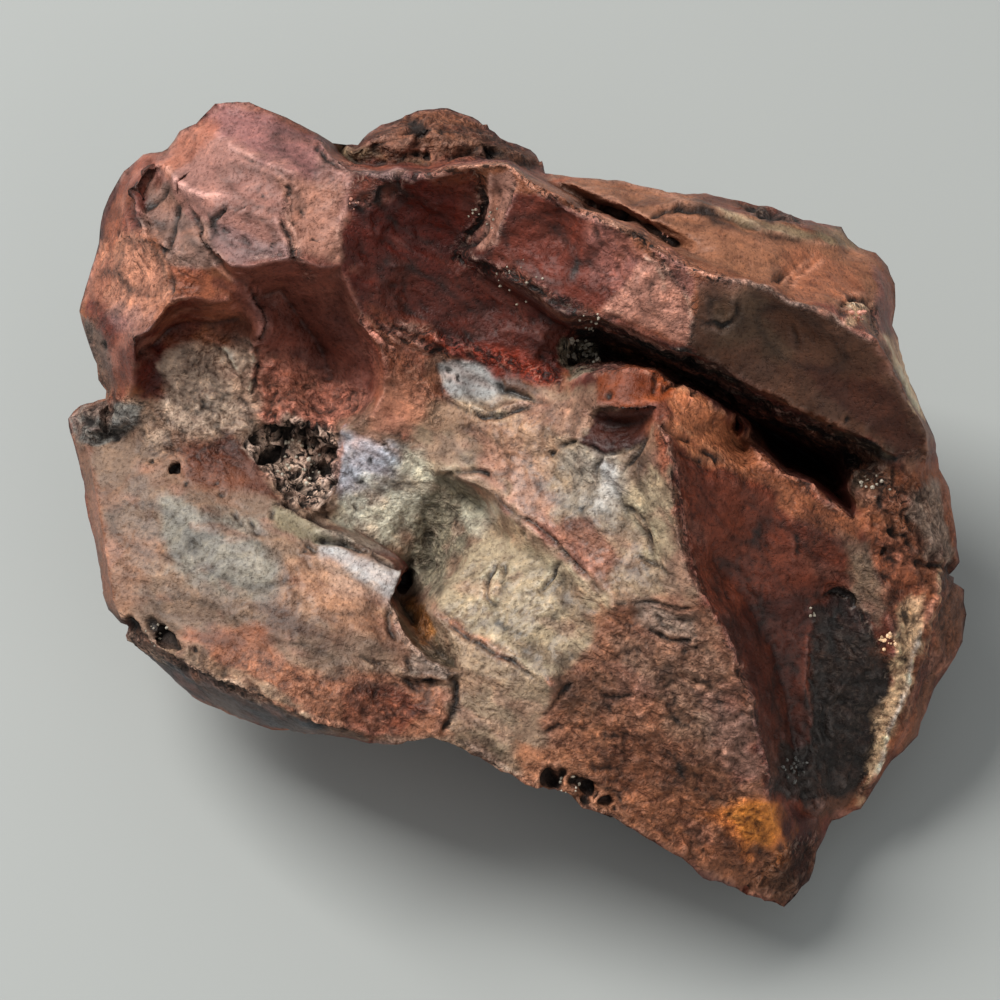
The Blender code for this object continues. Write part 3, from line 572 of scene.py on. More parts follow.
def addRoughPlaces(relief):
    # knobs round scattered points, with layered and pillow noise over them
    for fade, height, lump, outline in roughPlaces.values():
        here = nearby(relief.places, outline, 2 * fade + 8)
        share = relief.front[here] * within(relief.bent[here], outline, fade)
        at = relief.points[here] + 0.8 * relief.swirl[here]
        knobs = 0.62 - cellNoise(at, lump * mm, 7)
        lumps = (1.2 * knobs + 0.7 * layeredNoise(at, lump * mm, 2, 3)
                 + 0.8 * pillowNoise(at, 1.3 * lump * mm, 2, 33))
        relief.depth[here] += share * height * mm * lumps
        raiseTo(relief.crust, here, share * min(1.0, height / 0.24))
        # the low places between the lumps are darkened: painted shade
        relief.dark[here] += share * height * 1.8 * smoothStep(0.0, -0.5, lumps)


# flake scars: middle, half length and half width in plan units, turn in degrees, depth in mm
scars = [
    (163, 207, 26, 13, 75, 0.35), (196, 222, 26, 15, 60, 0.3), (244, 230, 36, 18, 25, 0.3),
    (140, 268, 30, 22, 60, 0.25), (110, 292, 22, 18, 80, 0.25), (188, 282, 14, 9, 20, 0.25),
    (300, 150, 30, 12, 35, 0.18), (262, 190, 44, 16, 25, 0.18), (392, 196, 14, 12, 0, 0.35),
    (366, 202, 10, 10, 0, 0.35), (420, 220, 50, 18, 35, 0.25), (540, 250, 44, 26, 40, 0.22),
    (590, 276, 20, 14, 30, 0.2), (668, 300, 26, 18, 70, 0.16), (430, 300, 60, 20, 35, 0.2),
    (724, 312, 18, 13, 40, 0.12), (800, 340, 50, 24, 32, 0.14), (760, 220, 60, 16, 12, 0.16),
    (680, 214, 40, 10, 12, 0.14), (486, 392, 26, 13, 20, 0.22), (560, 420, 20, 14, -30, 0.2),
    (600, 500, 36, 22, 60, 0.25), (650, 480, 26, 12, 75, 0.22), (655, 560, 30, 12, 60, 0.22),
    (560, 480, 40, 20, 40, 0.2), (480, 450, 36, 18, 35, 0.2), (530, 600, 40, 30, -40, 0.18),
    (500, 640, 34, 16, 20, 0.18), (480, 700, 34, 22, 45, 0.2), (590, 680, 36, 22, 30, 0.22),
    (660, 640, 30, 14, 20, 0.22), (690, 700, 40, 24, 50, 0.22), (640, 760, 44, 22, 25, 0.22),
    (710, 780, 34, 18, 40, 0.22), (740, 832, 24, 14, 20, 0.25), (600, 800, 30, 14, 35, 0.18),
    (730, 500, 50, 22, 60, 0.18), (790, 560, 46, 22, 55, 0.18), (740, 600, 40, 18, 65, 0.16),
    (845, 640, 30, 16, 80, 0.22), (840, 760, 34, 18, 80, 0.22), (790, 700, 44, 16, 80, 0.16),
    (150, 530, 44, 24, 20, 0.16), (240, 560, 50, 24, 20, 0.16), (330, 590, 44, 22, 15, 0.16),
    (200, 620, 44, 18, 20, 0.16), (300, 660, 44, 16, 15, 0.2), (390, 700, 40, 16, 5, 0.22),
    (190, 380, 34, 24, 60, 0.22), (236, 420, 26, 18, 70, 0.18), (160, 430, 22, 14, 20, 0.18),
    (370, 470, 26, 16, 30, 0.16), (420, 440, 26, 12, 20, 0.16), (900, 510, 26, 18, 60, 0.3),
    (880, 560, 20, 12, 60, 0.3), (930, 570, 22, 12, 70, 0.3), (910, 640, 26, 10, 80, 0.25),
]


def addScars(relief):
    # a bowl 1 - d squared inside each ellipse, with a darker rim that is painted shade along the
    # scar's edge
    for u, v, long, wide, angle, deep in scars:
        reach = long * 1.5
        here = nearby(relief.places, [(u - reach, v - reach), (u + reach, v + reach)], 4)
        turn = math.radians(angle)
        x, y = relief.shaken[here, 0] - u, relief.shaken[here, 1] - v
        across = np.hypot((x * math.cos(turn) + y * math.sin(turn)) / long,
                          (y * math.cos(turn) - x * math.sin(turn)) / wide)
        bowl = np.clip(1.0 - across ** 2, 0.0, None)
        relief.depth[here] -= relief.front[here] * deep * mm * bowl
        relief.dark[here] += relief.front[here] * 0.45 * np.exp(
            -((across - 0.97) * wide / 3.0) ** 2)


# cracks: depth and half width in mm, then the run on the plan
cracks = [
    (1.2, 0.36, [(149, 158), (150, 170), (142, 182), (134, 192), (131, 206), (136, 222),
        (143, 236)]),
    (0.5, 0.18, [(145, 213), (152, 205), (160, 196), (167, 186)]),
    (0.6, 0.2, [(180, 202), (177, 214), (174, 232), (171, 246), (168, 252), (160, 249),
        (151, 241)]),
    (0.45, 0.16, [(186, 206), (192, 214), (197, 224), (204, 242), (214, 256), (226, 268)]),
    (0.6, 0.2, [(226, 203), (222, 212), (213, 220), (207, 225), (210, 231)]),
    (0.4, 0.15, [(221, 227), (228, 233)]),
    (0.4, 0.16, [(240, 235), (244, 241), (250, 246)]),
    (0.6, 0.22, [(281, 218), (284, 230), (291, 240), (292, 256), (296, 264)]),
    (0.3, 0.14, [(232, 150), (246, 158), (262, 164), (276, 170), (287, 177), (297, 182)]),
    (0.3, 0.14, [(289, 184), (291, 192), (288, 198)]),
    (0.35, 0.16, [(316, 142), (317, 152)]),
    (0.5, 0.2, [(320, 150), (326, 160), (338, 167), (352, 172)]),
    (0.4, 0.16, [(117, 226), (118, 240)]),
    (0.3, 0.14, [(159, 250), (168, 262), (172, 280), (173, 296)]),
    (0.9, 0.26, [(250, 292), (258, 300), (264, 312), (266, 325), (262, 336), (255, 340)]),
    (0.4, 0.16, [(212, 342), (222, 350), (230, 362), (235, 374)]),
    (0.4, 0.16, [(258, 346), (258, 362), (255, 376), (252, 392)]),
    (0.4, 0.16, [(200, 392), (203, 402), (201, 412)]),
    (0.45, 0.17, [(233, 512), (238, 520), (243, 527)]),
    (0.4, 0.15, [(248, 517), (254, 527), (257, 533), (263, 533)]),
    (0.35, 0.14, [(273, 508), (272, 520)]),
    (0.9, 0.32, [(280, 501), (292, 507), (304, 513), (318, 519), (331, 528)]),
    (1.3, 0.42, [(313, 541), (326, 538), (341, 540), (356, 546), (370, 551)]),
    (0.6, 0.2, [(303, 543), (309, 547), (313, 551), (318, 547)]),
    (0.9, 0.32, [(370, 551), (388, 562), (404, 568)]),
    (1.4, 0.45, [(407, 570), (406, 582), (400, 592), (391, 602)]),
    (0.9, 0.28, [(391, 602), (388, 612), (391, 628), (398, 640)]),
    (0.5, 0.18, [(408, 654), (409, 668), (411, 676)]),
    (0.8, 0.28, [(402, 680), (412, 684), (428, 684), (448, 680)]),
    (0.7, 0.24, [(454, 678), (456, 700), (450, 716), (441, 734)]),
    (0.35, 0.15, [(355, 655), (366, 660), (376, 664), (384, 662)]),
    (0.8, 0.28, [(168, 655), (185, 668), (205, 677), (232, 688), (258, 699)]),
    (0.5, 0.2, [(246, 684), (256, 690), (264, 699)]),
    (0.6, 0.24, [(292, 703), (297, 712), (303, 718), (316, 728), (330, 732)]),
    (0.5, 0.22, [(594, 411), (604, 410), (618, 409), (634, 409), (648, 407), (659, 409)]),
    (0.3, 0.16, [(583, 440), (594, 450), (608, 456), (624, 450), (640, 442), (652, 428)]),
    (0.9, 0.24, [(577, 438), (566, 443), (556, 448), (551, 453), (547, 457)]),
    (0.9, 0.26, [(500, 372), (498, 384), (501, 392), (512, 392), (522, 396), (537, 402),
        (550, 403)]),
    # this crack's dark stands for the shade under the grey flake's lower edge
    (0.5, 0.18, [(470, 407), (482, 416), (498, 418), (515, 412), (535, 407)]),
    (0.6, 0.22, [(441, 478), (450, 473), (462, 471), (478, 471), (486, 474), (489, 480)]),
    (0.8, 0.26, [(489, 486), (494, 496), (503, 505), (520, 515), (532, 522), (548, 535),
        (560, 548), (574, 564), (585, 572), (590, 582), (600, 592), (611, 604)]),
    (0.4, 0.15, [(516, 520), (522, 530), (521, 538)]),
    (0.6, 0.18, [(498, 560), (492, 570), (486, 584), (485, 597), (491, 602), (497, 607)]),
    (0.35, 0.14, [(506, 563), (503, 574), (500, 584)]),
    (0.4, 0.15, [(539, 592), (545, 582), (553, 575), (556, 566), (564, 560)]),
    (0.4, 0.14, [(443, 619), (454, 628), (468, 637), (486, 647), (506, 656), (520, 667),
        (530, 676), (545, 682)]),
    (0.8, 0.24, [(597, 478), (596, 466), (604, 457)]),
    (0.5, 0.2, [(618, 478), (628, 462), (640, 446), (648, 436)]),
    (0.45, 0.16, [(620, 503), (630, 510), (638, 516), (645, 523), (650, 536), (651, 548)]),
    (0.4, 0.15, [(634, 552), (648, 560), (660, 568), (672, 576)]),
    (0.5, 0.18, [(613, 608), (626, 604), (640, 603), (652, 603), (664, 608), (678, 611),
        (692, 609)]),
    (0.5, 0.18, [(647, 629), (655, 633), (664, 638), (676, 643), (688, 641), (694, 635)]),
    (0.35, 0.14, [(690, 679), (700, 683), (712, 682)]),
    (0.5, 0.18, [(536, 718), (548, 712), (558, 700), (566, 690), (580, 684)]),
    (0.4, 0.16, [(596, 697), (620, 698), (638, 695)]),
    (0.4, 0.15, [(540, 734), (556, 728), (572, 722)]),
    (0.6, 0.2, [(656, 372), (656, 384), (652, 396)]),
    (0.6, 0.2, [(664, 380), (663, 390), (672, 384), (681, 382)]),
    (0.9, 0.26, [(660, 420), (672, 428), (684, 437), (697, 443)]),
    (0.4, 0.16, [(700, 448), (708, 452), (716, 460), (722, 467)]),
    (0.35, 0.15, [(679, 452), (690, 458), (706, 464)]),
    (0.35, 0.14, [(766, 534), (766, 544), (769, 550)]),
    (0.35, 0.14, [(728, 588), (730, 600)]),
    (0.4, 0.14, [(800, 536), (800, 558)]),
    (0.4, 0.14, [(699, 320), (708, 324), (716, 322), (722, 328), (730, 322), (737, 312),
        (738, 300)]),
    (0.35, 0.13, [(706, 293), (712, 302), (712, 308)]),
    (0.25, 0.12, [(792, 322), (796, 335), (797, 350)]),
    (0.4, 0.16, [(594, 222), (598, 236), (604, 246)]),
    (0.35, 0.14, [(602, 312), (612, 318), (624, 320)]),
    (0.35, 0.14, [(624, 240), (636, 232), (646, 244)]),
    (0.9, 0.32, [(566, 200), (584, 204), (602, 209), (620, 215), (640, 222)]),
    (0.9, 0.32, [(643, 225), (656, 231), (668, 238), (682, 246)]),
    (0.5, 0.18, [(650, 218), (664, 211), (680, 208), (700, 212)]),
    (0.6, 0.2, [(842, 318), (841, 306), (850, 300), (858, 298), (868, 302), (874, 312),
        (873, 326)]),
    (0.6, 0.2, [(878, 338), (893, 360), (905, 385), (918, 412)]),
    (0.5, 0.2, [(880, 528), (890, 532), (905, 536), (912, 546), (914, 556)]),
    (0.6, 0.22, [(920, 562), (930, 566), (942, 566), (952, 570)]),
    (0.35, 0.16, [(826, 690), (824, 712), (828, 738), (836, 744)]),
    (0.4, 0.16, [(820, 602), (828, 594), (840, 592), (850, 598), (858, 612), (866, 626),
        (878, 640)]),
    (0.6, 0.2, [(479, 178), (481, 192), (485, 202), (483, 214), (479, 226), (470, 234), (466, 242),
        (458, 251)]),
    (0.5, 0.2, [(464, 250), (476, 243), (486, 232), (487, 216)]),
    (1.0, 0.36, [(460, 258), (480, 268), (498, 272), (510, 270), (520, 282), (540, 295),
        (556, 303), (575, 310)]),
]


def addCracks(relief):
    # a groove exp(-(d / width) squared) along each run, with a thin pale lip beside it
    for deep, half, run in cracks:
        here, gap, _, along = nearRun(relief, run, 14)
        taper = tapered(along, 5.0, 0.15) * (0.75 + 0.5 * relief.fine[here, 1])
        cut = relief.front[here] * np.exp(-(gap / (0.12 + 0.55 * half * taper)) ** 2) * taper
        relief.depth[here] -= cut * deep * mm * 0.8
        # the groove is darkened: painted shade in the crack
        relief.dark[here] += cut * min(1.0, deep * 2.4)
        # the lip stands up a little and is made pale: a painted highlight beside the crack
        lip = relief.front[here] * np.exp(-((gap - 0.34 - half) / 0.15) ** 2) * taper
        relief.depth[here] += lip * 0.05 * mm
        raiseTo(relief.pale, here, lip * 0.34 * min(1.0, deep * 1.6))


# even-coloured faces, where the clouds of colour stay away: how much calmer their folds are
# too, outline
calmFaces = [
    (0.75, [(356, 190), (474, 180), (482, 214), (458, 256), (560, 322), (552, 372), (440, 336),
        (352, 300)]),
    (0.75, [(697, 284), (790, 300), (870, 345), (926, 440), (900, 456), (790, 402), (690, 345)]),
    (0.75, [(690, 470), (780, 500), (826, 600), (806, 650), (812, 740), (775, 780), (716, 600)]),
    (0.75, [(222, 272), (338, 268), (380, 380), (340, 386), (262, 346)]),
    (0.75, [(150, 165), (215, 106), (320, 150), (340, 262), (232, 264)]),
    (0.75, [(506, 190), (600, 226), (600, 304), (484, 264)]),
    (0.75, [(546, 174), (860, 242), (892, 290), (870, 320), (720, 264)]),
    (0.0, [(815, 600), (884, 660), (860, 790), (790, 790), (812, 700)]),
    (0.75, [(578, 441), (600, 411), (657, 408), (640, 441), (606, 456)]),
]


def calmFolds(relief):
    # the folds keep 1 - calm inside each outline
    for calm, outline in calmFaces:
        here = nearby(relief.places, outline, 14)
        relief.folds[here] *= 1.0 - calm * relief.front[here] * within(
            relief.places[here], outline, 6.0)


# raised thin ribs: height and half width in mm, strength of the pale painted highlight along the
# rib, then the run
ribs = [
    (0.16, 0.2, 1.0, [(340, 163), (360, 169), (378, 176), (396, 172), (412, 177), (430, 176),
        (446, 174), (458, 168), (470, 166), (486, 165), (502, 165), (512, 169), (520, 178),
        (532, 186), (548, 196), (562, 206), (580, 214), (600, 221), (620, 229), (640, 240)]),
    (0.14, 0.2, 1.0, [(640, 240), (656, 252), (672, 262), (690, 268), (706, 274), (724, 280),
        (745, 281), (760, 287), (772, 288), (784, 298), (796, 304), (812, 308), (832, 316),
        (850, 327), (866, 336), (878, 342)]),
    (0.12, 0.2, 0.7, [(880, 332), (892, 348), (902, 372), (912, 396), (924, 420)]),
    (0.22, 0.34, 0.6, [(164, 163), (170, 172), (180, 182), (192, 190), (206, 195), (232, 197)]),
    (0.12, 0.28, 0.5, [(215, 132), (224, 140), (233, 149), (246, 155), (262, 163), (282, 171)]),
    (0.18, 0.16, 0.9, [(203, 243), (208, 254), (216, 266), (226, 277), (236, 286)]),
    (0.1, 0.2, 0.4, [(133, 338), (142, 336), (152, 327), (157, 316), (162, 307), (172, 301),
        (184, 297), (196, 300)]),
    (0.1, 0.18, 0.5, [(222, 262), (236, 266), (250, 267), (268, 264), (282, 259), (292, 256)]),
    (0.1, 0.2, 0.4, [(346, 176), (349, 194), (345, 212), (339, 226), (337, 240)]),
    (0.26, 0.17, 1.0, [(361, 324), (372, 332), (384, 344), (396, 352)]),
    (0.26, 0.17, 1.0, [(380, 322), (396, 331), (410, 340), (424, 348), (440, 355)]),
    (0.22, 0.17, 1.0, [(396, 320), (412, 330), (430, 338), (448, 344), (468, 346)]),
    (0.22, 0.17, 1.0, [(404, 334), (420, 343), (440, 350), (466, 353)]),
    (0.2, 0.17, 1.0, [(388, 330), (398, 342), (408, 352)]),
    (0.16, 0.13, 0.4, [(440, 336), (460, 341), (480, 350), (500, 356)]),
    (0.2, 0.18, 0.6, [(200, 334), (212, 338), (222, 345), (230, 356), (236, 370), (241, 380)]),
    (0.2, 0.18, 0.5, [(250, 346), (254, 360), (251, 378), (250, 394)]),
    (0.16, 0.14, 0.9, [(462, 398), (474, 408), (486, 414), (500, 414), (516, 408), (534, 402)]),
    (0.22, 0.2, 0.9, [(394, 606), (398, 622), (404, 636), (414, 648), (428, 660), (446, 672)]),
    (0.12, 0.18, 0.3, [(443, 616), (456, 627), (474, 637), (496, 647), (516, 658), (530, 670)]),
    (0.2, 0.22, 0.5, [(124, 630), (150, 652), (180, 664), (206, 674), (232, 684), (262, 698)]),
    (0.16, 0.2, 0.5, [(262, 682), (280, 694), (300, 710), (330, 722), (370, 731), (398, 738)]),
    (0.12, 0.18, 0.7, [(456, 740), (480, 752), (500, 764), (520, 778), (545, 790), (566, 796)]),
    (0.16, 0.2, 0.4, [(566, 384), (580, 376), (594, 370), (610, 366), (630, 368), (650, 372)]),
    (0.16, 0.2, 0.4, [(672, 384), (690, 390), (700, 396), (716, 408), (730, 418), (742, 432),
        (752, 446), (762, 458), (776, 470), (790, 478), (806, 480), (816, 490), (824, 500),
        (838, 506), (850, 516)]),
    (0.14, 0.16, 0.3, [(600, 314), (620, 326), (640, 336), (660, 346), (680, 351)]),
    (0.14, 0.18, 0.55, [(660, 424), (668, 440), (674, 460), (676, 480), (678, 500), (684, 530),
        (690, 560), (698, 590), (712, 610), (724, 628), (733, 650), (742, 668), (750, 690),
        (752, 712), (758, 736), (766, 760), (770, 780), (770, 796)]),
    (0.2, 0.2, 0.7, [(940, 562), (936, 590), (926, 620), (916, 650), (906, 690), (890, 730),
        (878, 770), (866, 800)]),
    (0.14, 0.14, 0.35, [(808, 630), (805, 660), (806, 690), (812, 712), (812, 730)]),
    (0.12, 0.2, 0.4, [(640, 185), (660, 194), (682, 203), (700, 208), (740, 216), (760, 228),
        (800, 240), (840, 247), (870, 256)]),
    (0.14, 0.14, 0.5, [(815, 253), (800, 266), (780, 285)]),
    (0.14, 0.14, 0.5, [(824, 258), (806, 272), (790, 288)]),
    (0.12, 0.15, 0.6, [(518, 178), (516, 196), (508, 212), (500, 224), (497, 240)]),
    (0.12, 0.15, 0.8, [(490, 170), (491, 190), (488, 206), (490, 222)]),
    (0.14, 0.13, 0.6, [(382, 262), (390, 266), (397, 268)]),
    (0.1, 0.2, 0.15, [(400, 236), (424, 246), (444, 256)]),
    (0.1, 0.22, 0.15, [(356, 222), (380, 232), (404, 246), (430, 262)]),
    (0.14, 0.14, 0.8, [(376, 184), (377, 192), (374, 200), (362, 205), (351, 205)]),
    (0.14, 0.13, 0.6, [(400, 180), (399, 194), (392, 202), (381, 200)]),
    (0.12, 0.14, 0.5, [(660, 260), (668, 272), (678, 284), (688, 300), (692, 320), (690, 344)]),
    (0.12, 0.13, 0.5, [(640, 252), (652, 262), (662, 276), (664, 292)]),
    (0.16, 0.16, 0.5, [(846, 318), (848, 306), (856, 302)]),
    (0.14, 0.16, 0.6, [(598, 470), (606, 460), (618, 458), (628, 462), (622, 472)]),
    (0.14, 0.16, 0.6, [(640, 612), (652, 614), (668, 618), (680, 624), (690, 632)]),
    (0.12, 0.14, 0.5, [(668, 676), (680, 680), (690, 690), (700, 698)]),
]


def addRibs(relief):
    # a rounded rib exp(-(d / width) squared), broken off here and there by noise
    for rise, half, ribHighlight, run in ribs:
        here, gap, _, along = nearRun(relief, run, 16)
        taper = tapered(along, 7.0, 0.1) * smoothStep(-0.9, 0.1, relief.fine[here, 0])
        rib = relief.front[here] * np.exp(-(gap / max(half, skin["ribWidth"])) ** 2) * taper
        relief.depth[here] += rib * rise * mm
        # the rib is made pale: a painted highlight along its crest, and on the hackles their own
        # pale streaks
        raiseTo(relief.pale, here, rib * ribHighlight)


# hackly borders, broken into pale and black flecks: strength, half width in plan units, run
hacklyRuns = [
    (0.9, 4, [(340, 163), (378, 176), (412, 176), (458, 169), (500, 165), (514, 170), (548, 196),
        (600, 220), (640, 240)]),
    (1.0, 7, [(640, 236), (662, 256), (690, 268), (724, 280)]),
    (0.7, 4, [(724, 280), (762, 288), (800, 305), (840, 320), (876, 342)]),
    (0.8, 5, [(656, 258), (676, 280), (692, 300), (691, 346)]),
    (1.0, 7, [(479, 176), (482, 200), (480, 220), (468, 236), (460, 254)]),
    (0.6, 4, [(517, 178), (508, 208), (500, 232), (488, 250)]),
    (1.0, 8, [(460, 258), (486, 269), (514, 276), (540, 294), (575, 312), (604, 324)]),
    (0.8, 6, [(604, 326), (642, 342), (690, 356), (726, 376), (762, 400), (814, 428), (868, 450)]),
    (0.9, 8, [(566, 346), (584, 350), (598, 356)]),
    (0.9, 6, [(650, 372), (664, 380), (682, 382)]),
    (0.7, 5, [(596, 372), (626, 366), (652, 370)]),
    (0.9, 7, [(364, 322), (392, 334), (420, 346), (446, 356)]),
    (0.8, 8, [(400, 326), (440, 340), (480, 352), (520, 366), (556, 378)]),
    (0.6, 8, [(384, 350), (410, 368), (432, 396), (436, 420)]),
    (0.7, 4, [(349, 192), (357, 178), (377, 178), (376, 198), (352, 206)]),
    (0.5, 3, [(378, 180), (400, 181), (399, 196), (382, 202)]),
    (0.6, 4, [(318, 140), (328, 158), (350, 172)]),
    (0.7, 5, [(288, 200), (284, 224), (292, 244), (302, 262), (310, 280)]),
    (0.6, 4, [(252, 258), (286, 254), (300, 262)]),
    (0.8, 6, [(662, 424), (672, 456), (677, 500), (688, 556)]),
    (0.7, 6, [(690, 560), (712, 612), (736, 660), (752, 710), (766, 764), (772, 794)]),
    (0.8, 5, [(748, 432), (764, 458), (794, 478), (824, 500), (852, 518)]),
    (0.9, 12, [(854, 470), (880, 478), (900, 500), (906, 530)]),
    (0.8, 6, [(842, 592), (866, 622), (890, 664), (880, 716), (862, 790)]),
    (0.5, 6, [(906, 600), (912, 640), (902, 690), (880, 756), (868, 800)]),
    (0.7, 5, [(78, 400), (110, 396), (142, 404)]),
    (0.9, 6, [(124, 632), (150, 652), (190, 668), (232, 690), (262, 700)]),
    (0.5, 4, [(262, 700), (330, 728), (400, 742)]),
    (0.7, 5, [(392, 604), (402, 636), (428, 662), (452, 676)]),
    (0.7, 5, [(462, 744), (500, 768), (548, 790), (590, 806), (620, 824)]),
    (0.8, 8, [(758, 880), (782, 856), (814, 838)]),
    (0.6, 4, [(276, 502), (304, 514), (332, 528), (372, 552)]),
    (0.5, 4, [(438, 366), (446, 394), (466, 406), (500, 416), (540, 404)]),
    (0.4, 4, [(446, 614), (486, 646), (524, 668), (552, 680)]),
    (0.4, 4, [(620, 605), (656, 604), (692, 612)]),
    (0.7, 8, [(752, 208), (776, 214), (800, 220)]),
    (0.8, 8, [(842, 322), (852, 300), (874, 312), (874, 334)]),
    (0.6, 5, [(904, 455), (930, 456)]),
]

# flecked stretches: strength, fade in plan units, outline
fleckedPlaces = [
    (1.0, 5, [(560, 340), (592, 336), (602, 352), (598, 366), (574, 376), (558, 360)]),
    (1.0, 5, [(244, 444), (262, 424), (292, 416), (334, 428), (336, 480), (318, 508), (290, 505),
        (268, 474)]),
    (0.45, 12, [(430, 480), (470, 500), (468, 540), (430, 596), (404, 566), (416, 520)]),
    (0.55, 5, [(402, 600), (420, 600), (434, 632), (452, 664), (440, 668), (412, 644)]),
    (0.3, 14, [(262, 350), (330, 372), (370, 396), (350, 424), (270, 420), (246, 392)]),
    (0.4, 10, [(850, 466), (905, 462), (946, 500), (950, 556), (900, 560), (868, 528)]),
    (0.4, 10, [(846, 540), (884, 552), (904, 600), (890, 640), (862, 606)]),
    (0.22, 14, [(560, 700), (700, 640), (750, 740), (772, 880), (640, 836), (540, 780)]),
    (0.3, 14, [(220, 650), (400, 680), (452, 700), (440, 730), (300, 706)]),
    (0.5, 5, [(66, 416), (82, 400), (126, 398), (128, 430), (90, 442)]),
    (0.28, 12, [(340, 150), (448, 106), (536, 160), (400, 166)]),
    (0.12, 18, [(340, 440), (420, 440), (430, 520), (330, 520)]),
]


def addFlecks(relief):
    # full on the run and gone at 1.5 half widths, and roughened by small pillows there
    for strength, half, run in hacklyRuns:
        here = nearby(relief.places, run, 3 * half + 6)
        gap = lineDistance(relief.shaken[here], run)[0]
        share = relief.front[here] * strength * smoothStep(half * 1.5, half * 0.3, gap)
        raiseTo(relief.flecks, here, share)
        relief.depth[here] += share * 0.16 * mm * pillowNoise(
            relief.points[here], 0.0009, 2, 51)
    for strength, fade, outline in fleckedPlaces:
        here = nearby(relief.places, outline, 2 * fade)
        raiseTo(relief.flecks, here, relief.front[here] * strength * within(
            relief.bent[here], outline, fade))


# small raised beads: middle, radius and height in mm
beads = [
    (795, 754, 0.3, 0.16), (800, 764, 0.34, 0.18), (790, 774, 0.3, 0.14), (797, 789, 0.4, 0.2),
    (806, 784, 0.34, 0.18), (787, 790, 0.28, 0.14), (803, 741, 0.3, 0.18), (780, 762, 0.24, 0.12),
    (793, 800, 0.26, 0.12), (811, 608, 0.34, 0.22), (814, 618, 0.24, 0.16), (356, 205, 0.4, 0.22),
    (232, 307, 0.2, 0.14), (252, 296, 0.24, 0.16), (268, 304, 0.2, 0.12), (318, 188, 0.22, 0.12),
    (240, 276, 0.16, 0.1), (888, 642, 0.34, 0.2), (898, 634, 0.3, 0.2), (892, 652, 0.28, 0.16),
    (634, 691, 0.24, 0.14), (740, 668, 0.24, 0.16), (748, 700, 0.26, 0.16), (717, 612, 0.24, 0.16),
]


def addBeads(relief):
    # a half ball, sqrt(1 - (d / radius) squared), flattened to its height
    for u, v, radius, high in beads:
        here, gap = nearSpot(relief, (u, v), radius, 0.0)
        bead = relief.front[here] * np.sqrt(np.clip(1.0 - (gap / radius) ** 2, 0.0, None))
        relief.depth[here] += bead * high * mm
        # each bead's top is made pale: a painted glint
        raiseTo(relief.pale, here, 0.5 * bead)


# flake ledges: how far the left side of the run stands up, how wide it fades, in mm
ledges = [
    (0.3, 2.2, [(438, 372), (444, 396), (466, 410), (484, 416), (509, 411), (535, 403)]),
    (0.3, 1.8, [(378, 202), (379, 188), (385, 180), (398, 179), (401, 190)]),
    (0.25, 1.6, [(350, 206), (362, 206), (376, 200), (378, 186)]),
    (0.3, 2.0, [(642, 222), (652, 215), (664, 211), (680, 209), (700, 211), (724, 216), (750, 224),
        (780, 236), (830, 246)]),
    (0.25, 1.6, [(147, 170), (136, 190), (133, 205), (142, 234)]),
    (-0.25, 1.8, [(820, 606), (809, 642), (807, 700), (815, 722), (813, 740), (819, 778),
        (817, 818)]),
    (0.22, 2.0, [(690, 345), (723, 367), (790, 404), (852, 431), (898, 457)]),
    (0.2, 1.6, [(516, 184), (512, 200), (502, 220), (497, 240)]),
    (0.25, 2.0, [(255, 340), (263, 334), (266, 322), (262, 308), (252, 294), (236, 280)]),
    (0.22, 1.8, [(441, 734), (452, 716), (457, 700), (454, 680)]),
]


def addLedges(relief):
    # a step on the left of the run that falls off as exp(-d / fade), with a painted shadow at its
    # foot
    for rise, fade, run in ledges:
        here, gap, side, along = nearRun(relief, run, 60)
        taper = tapered(along, 6.0)
        lift = np.where(side > 0, 1.0, 0.0) * np.exp(-gap / fade) * taper
        relief.depth[here] += relief.front[here] * rise * mm * lift
        relief.dark[here] += relief.front[here] * 0.5 * np.exp(
            -((gap * side + 0.12) / 0.16) ** 2) * taper


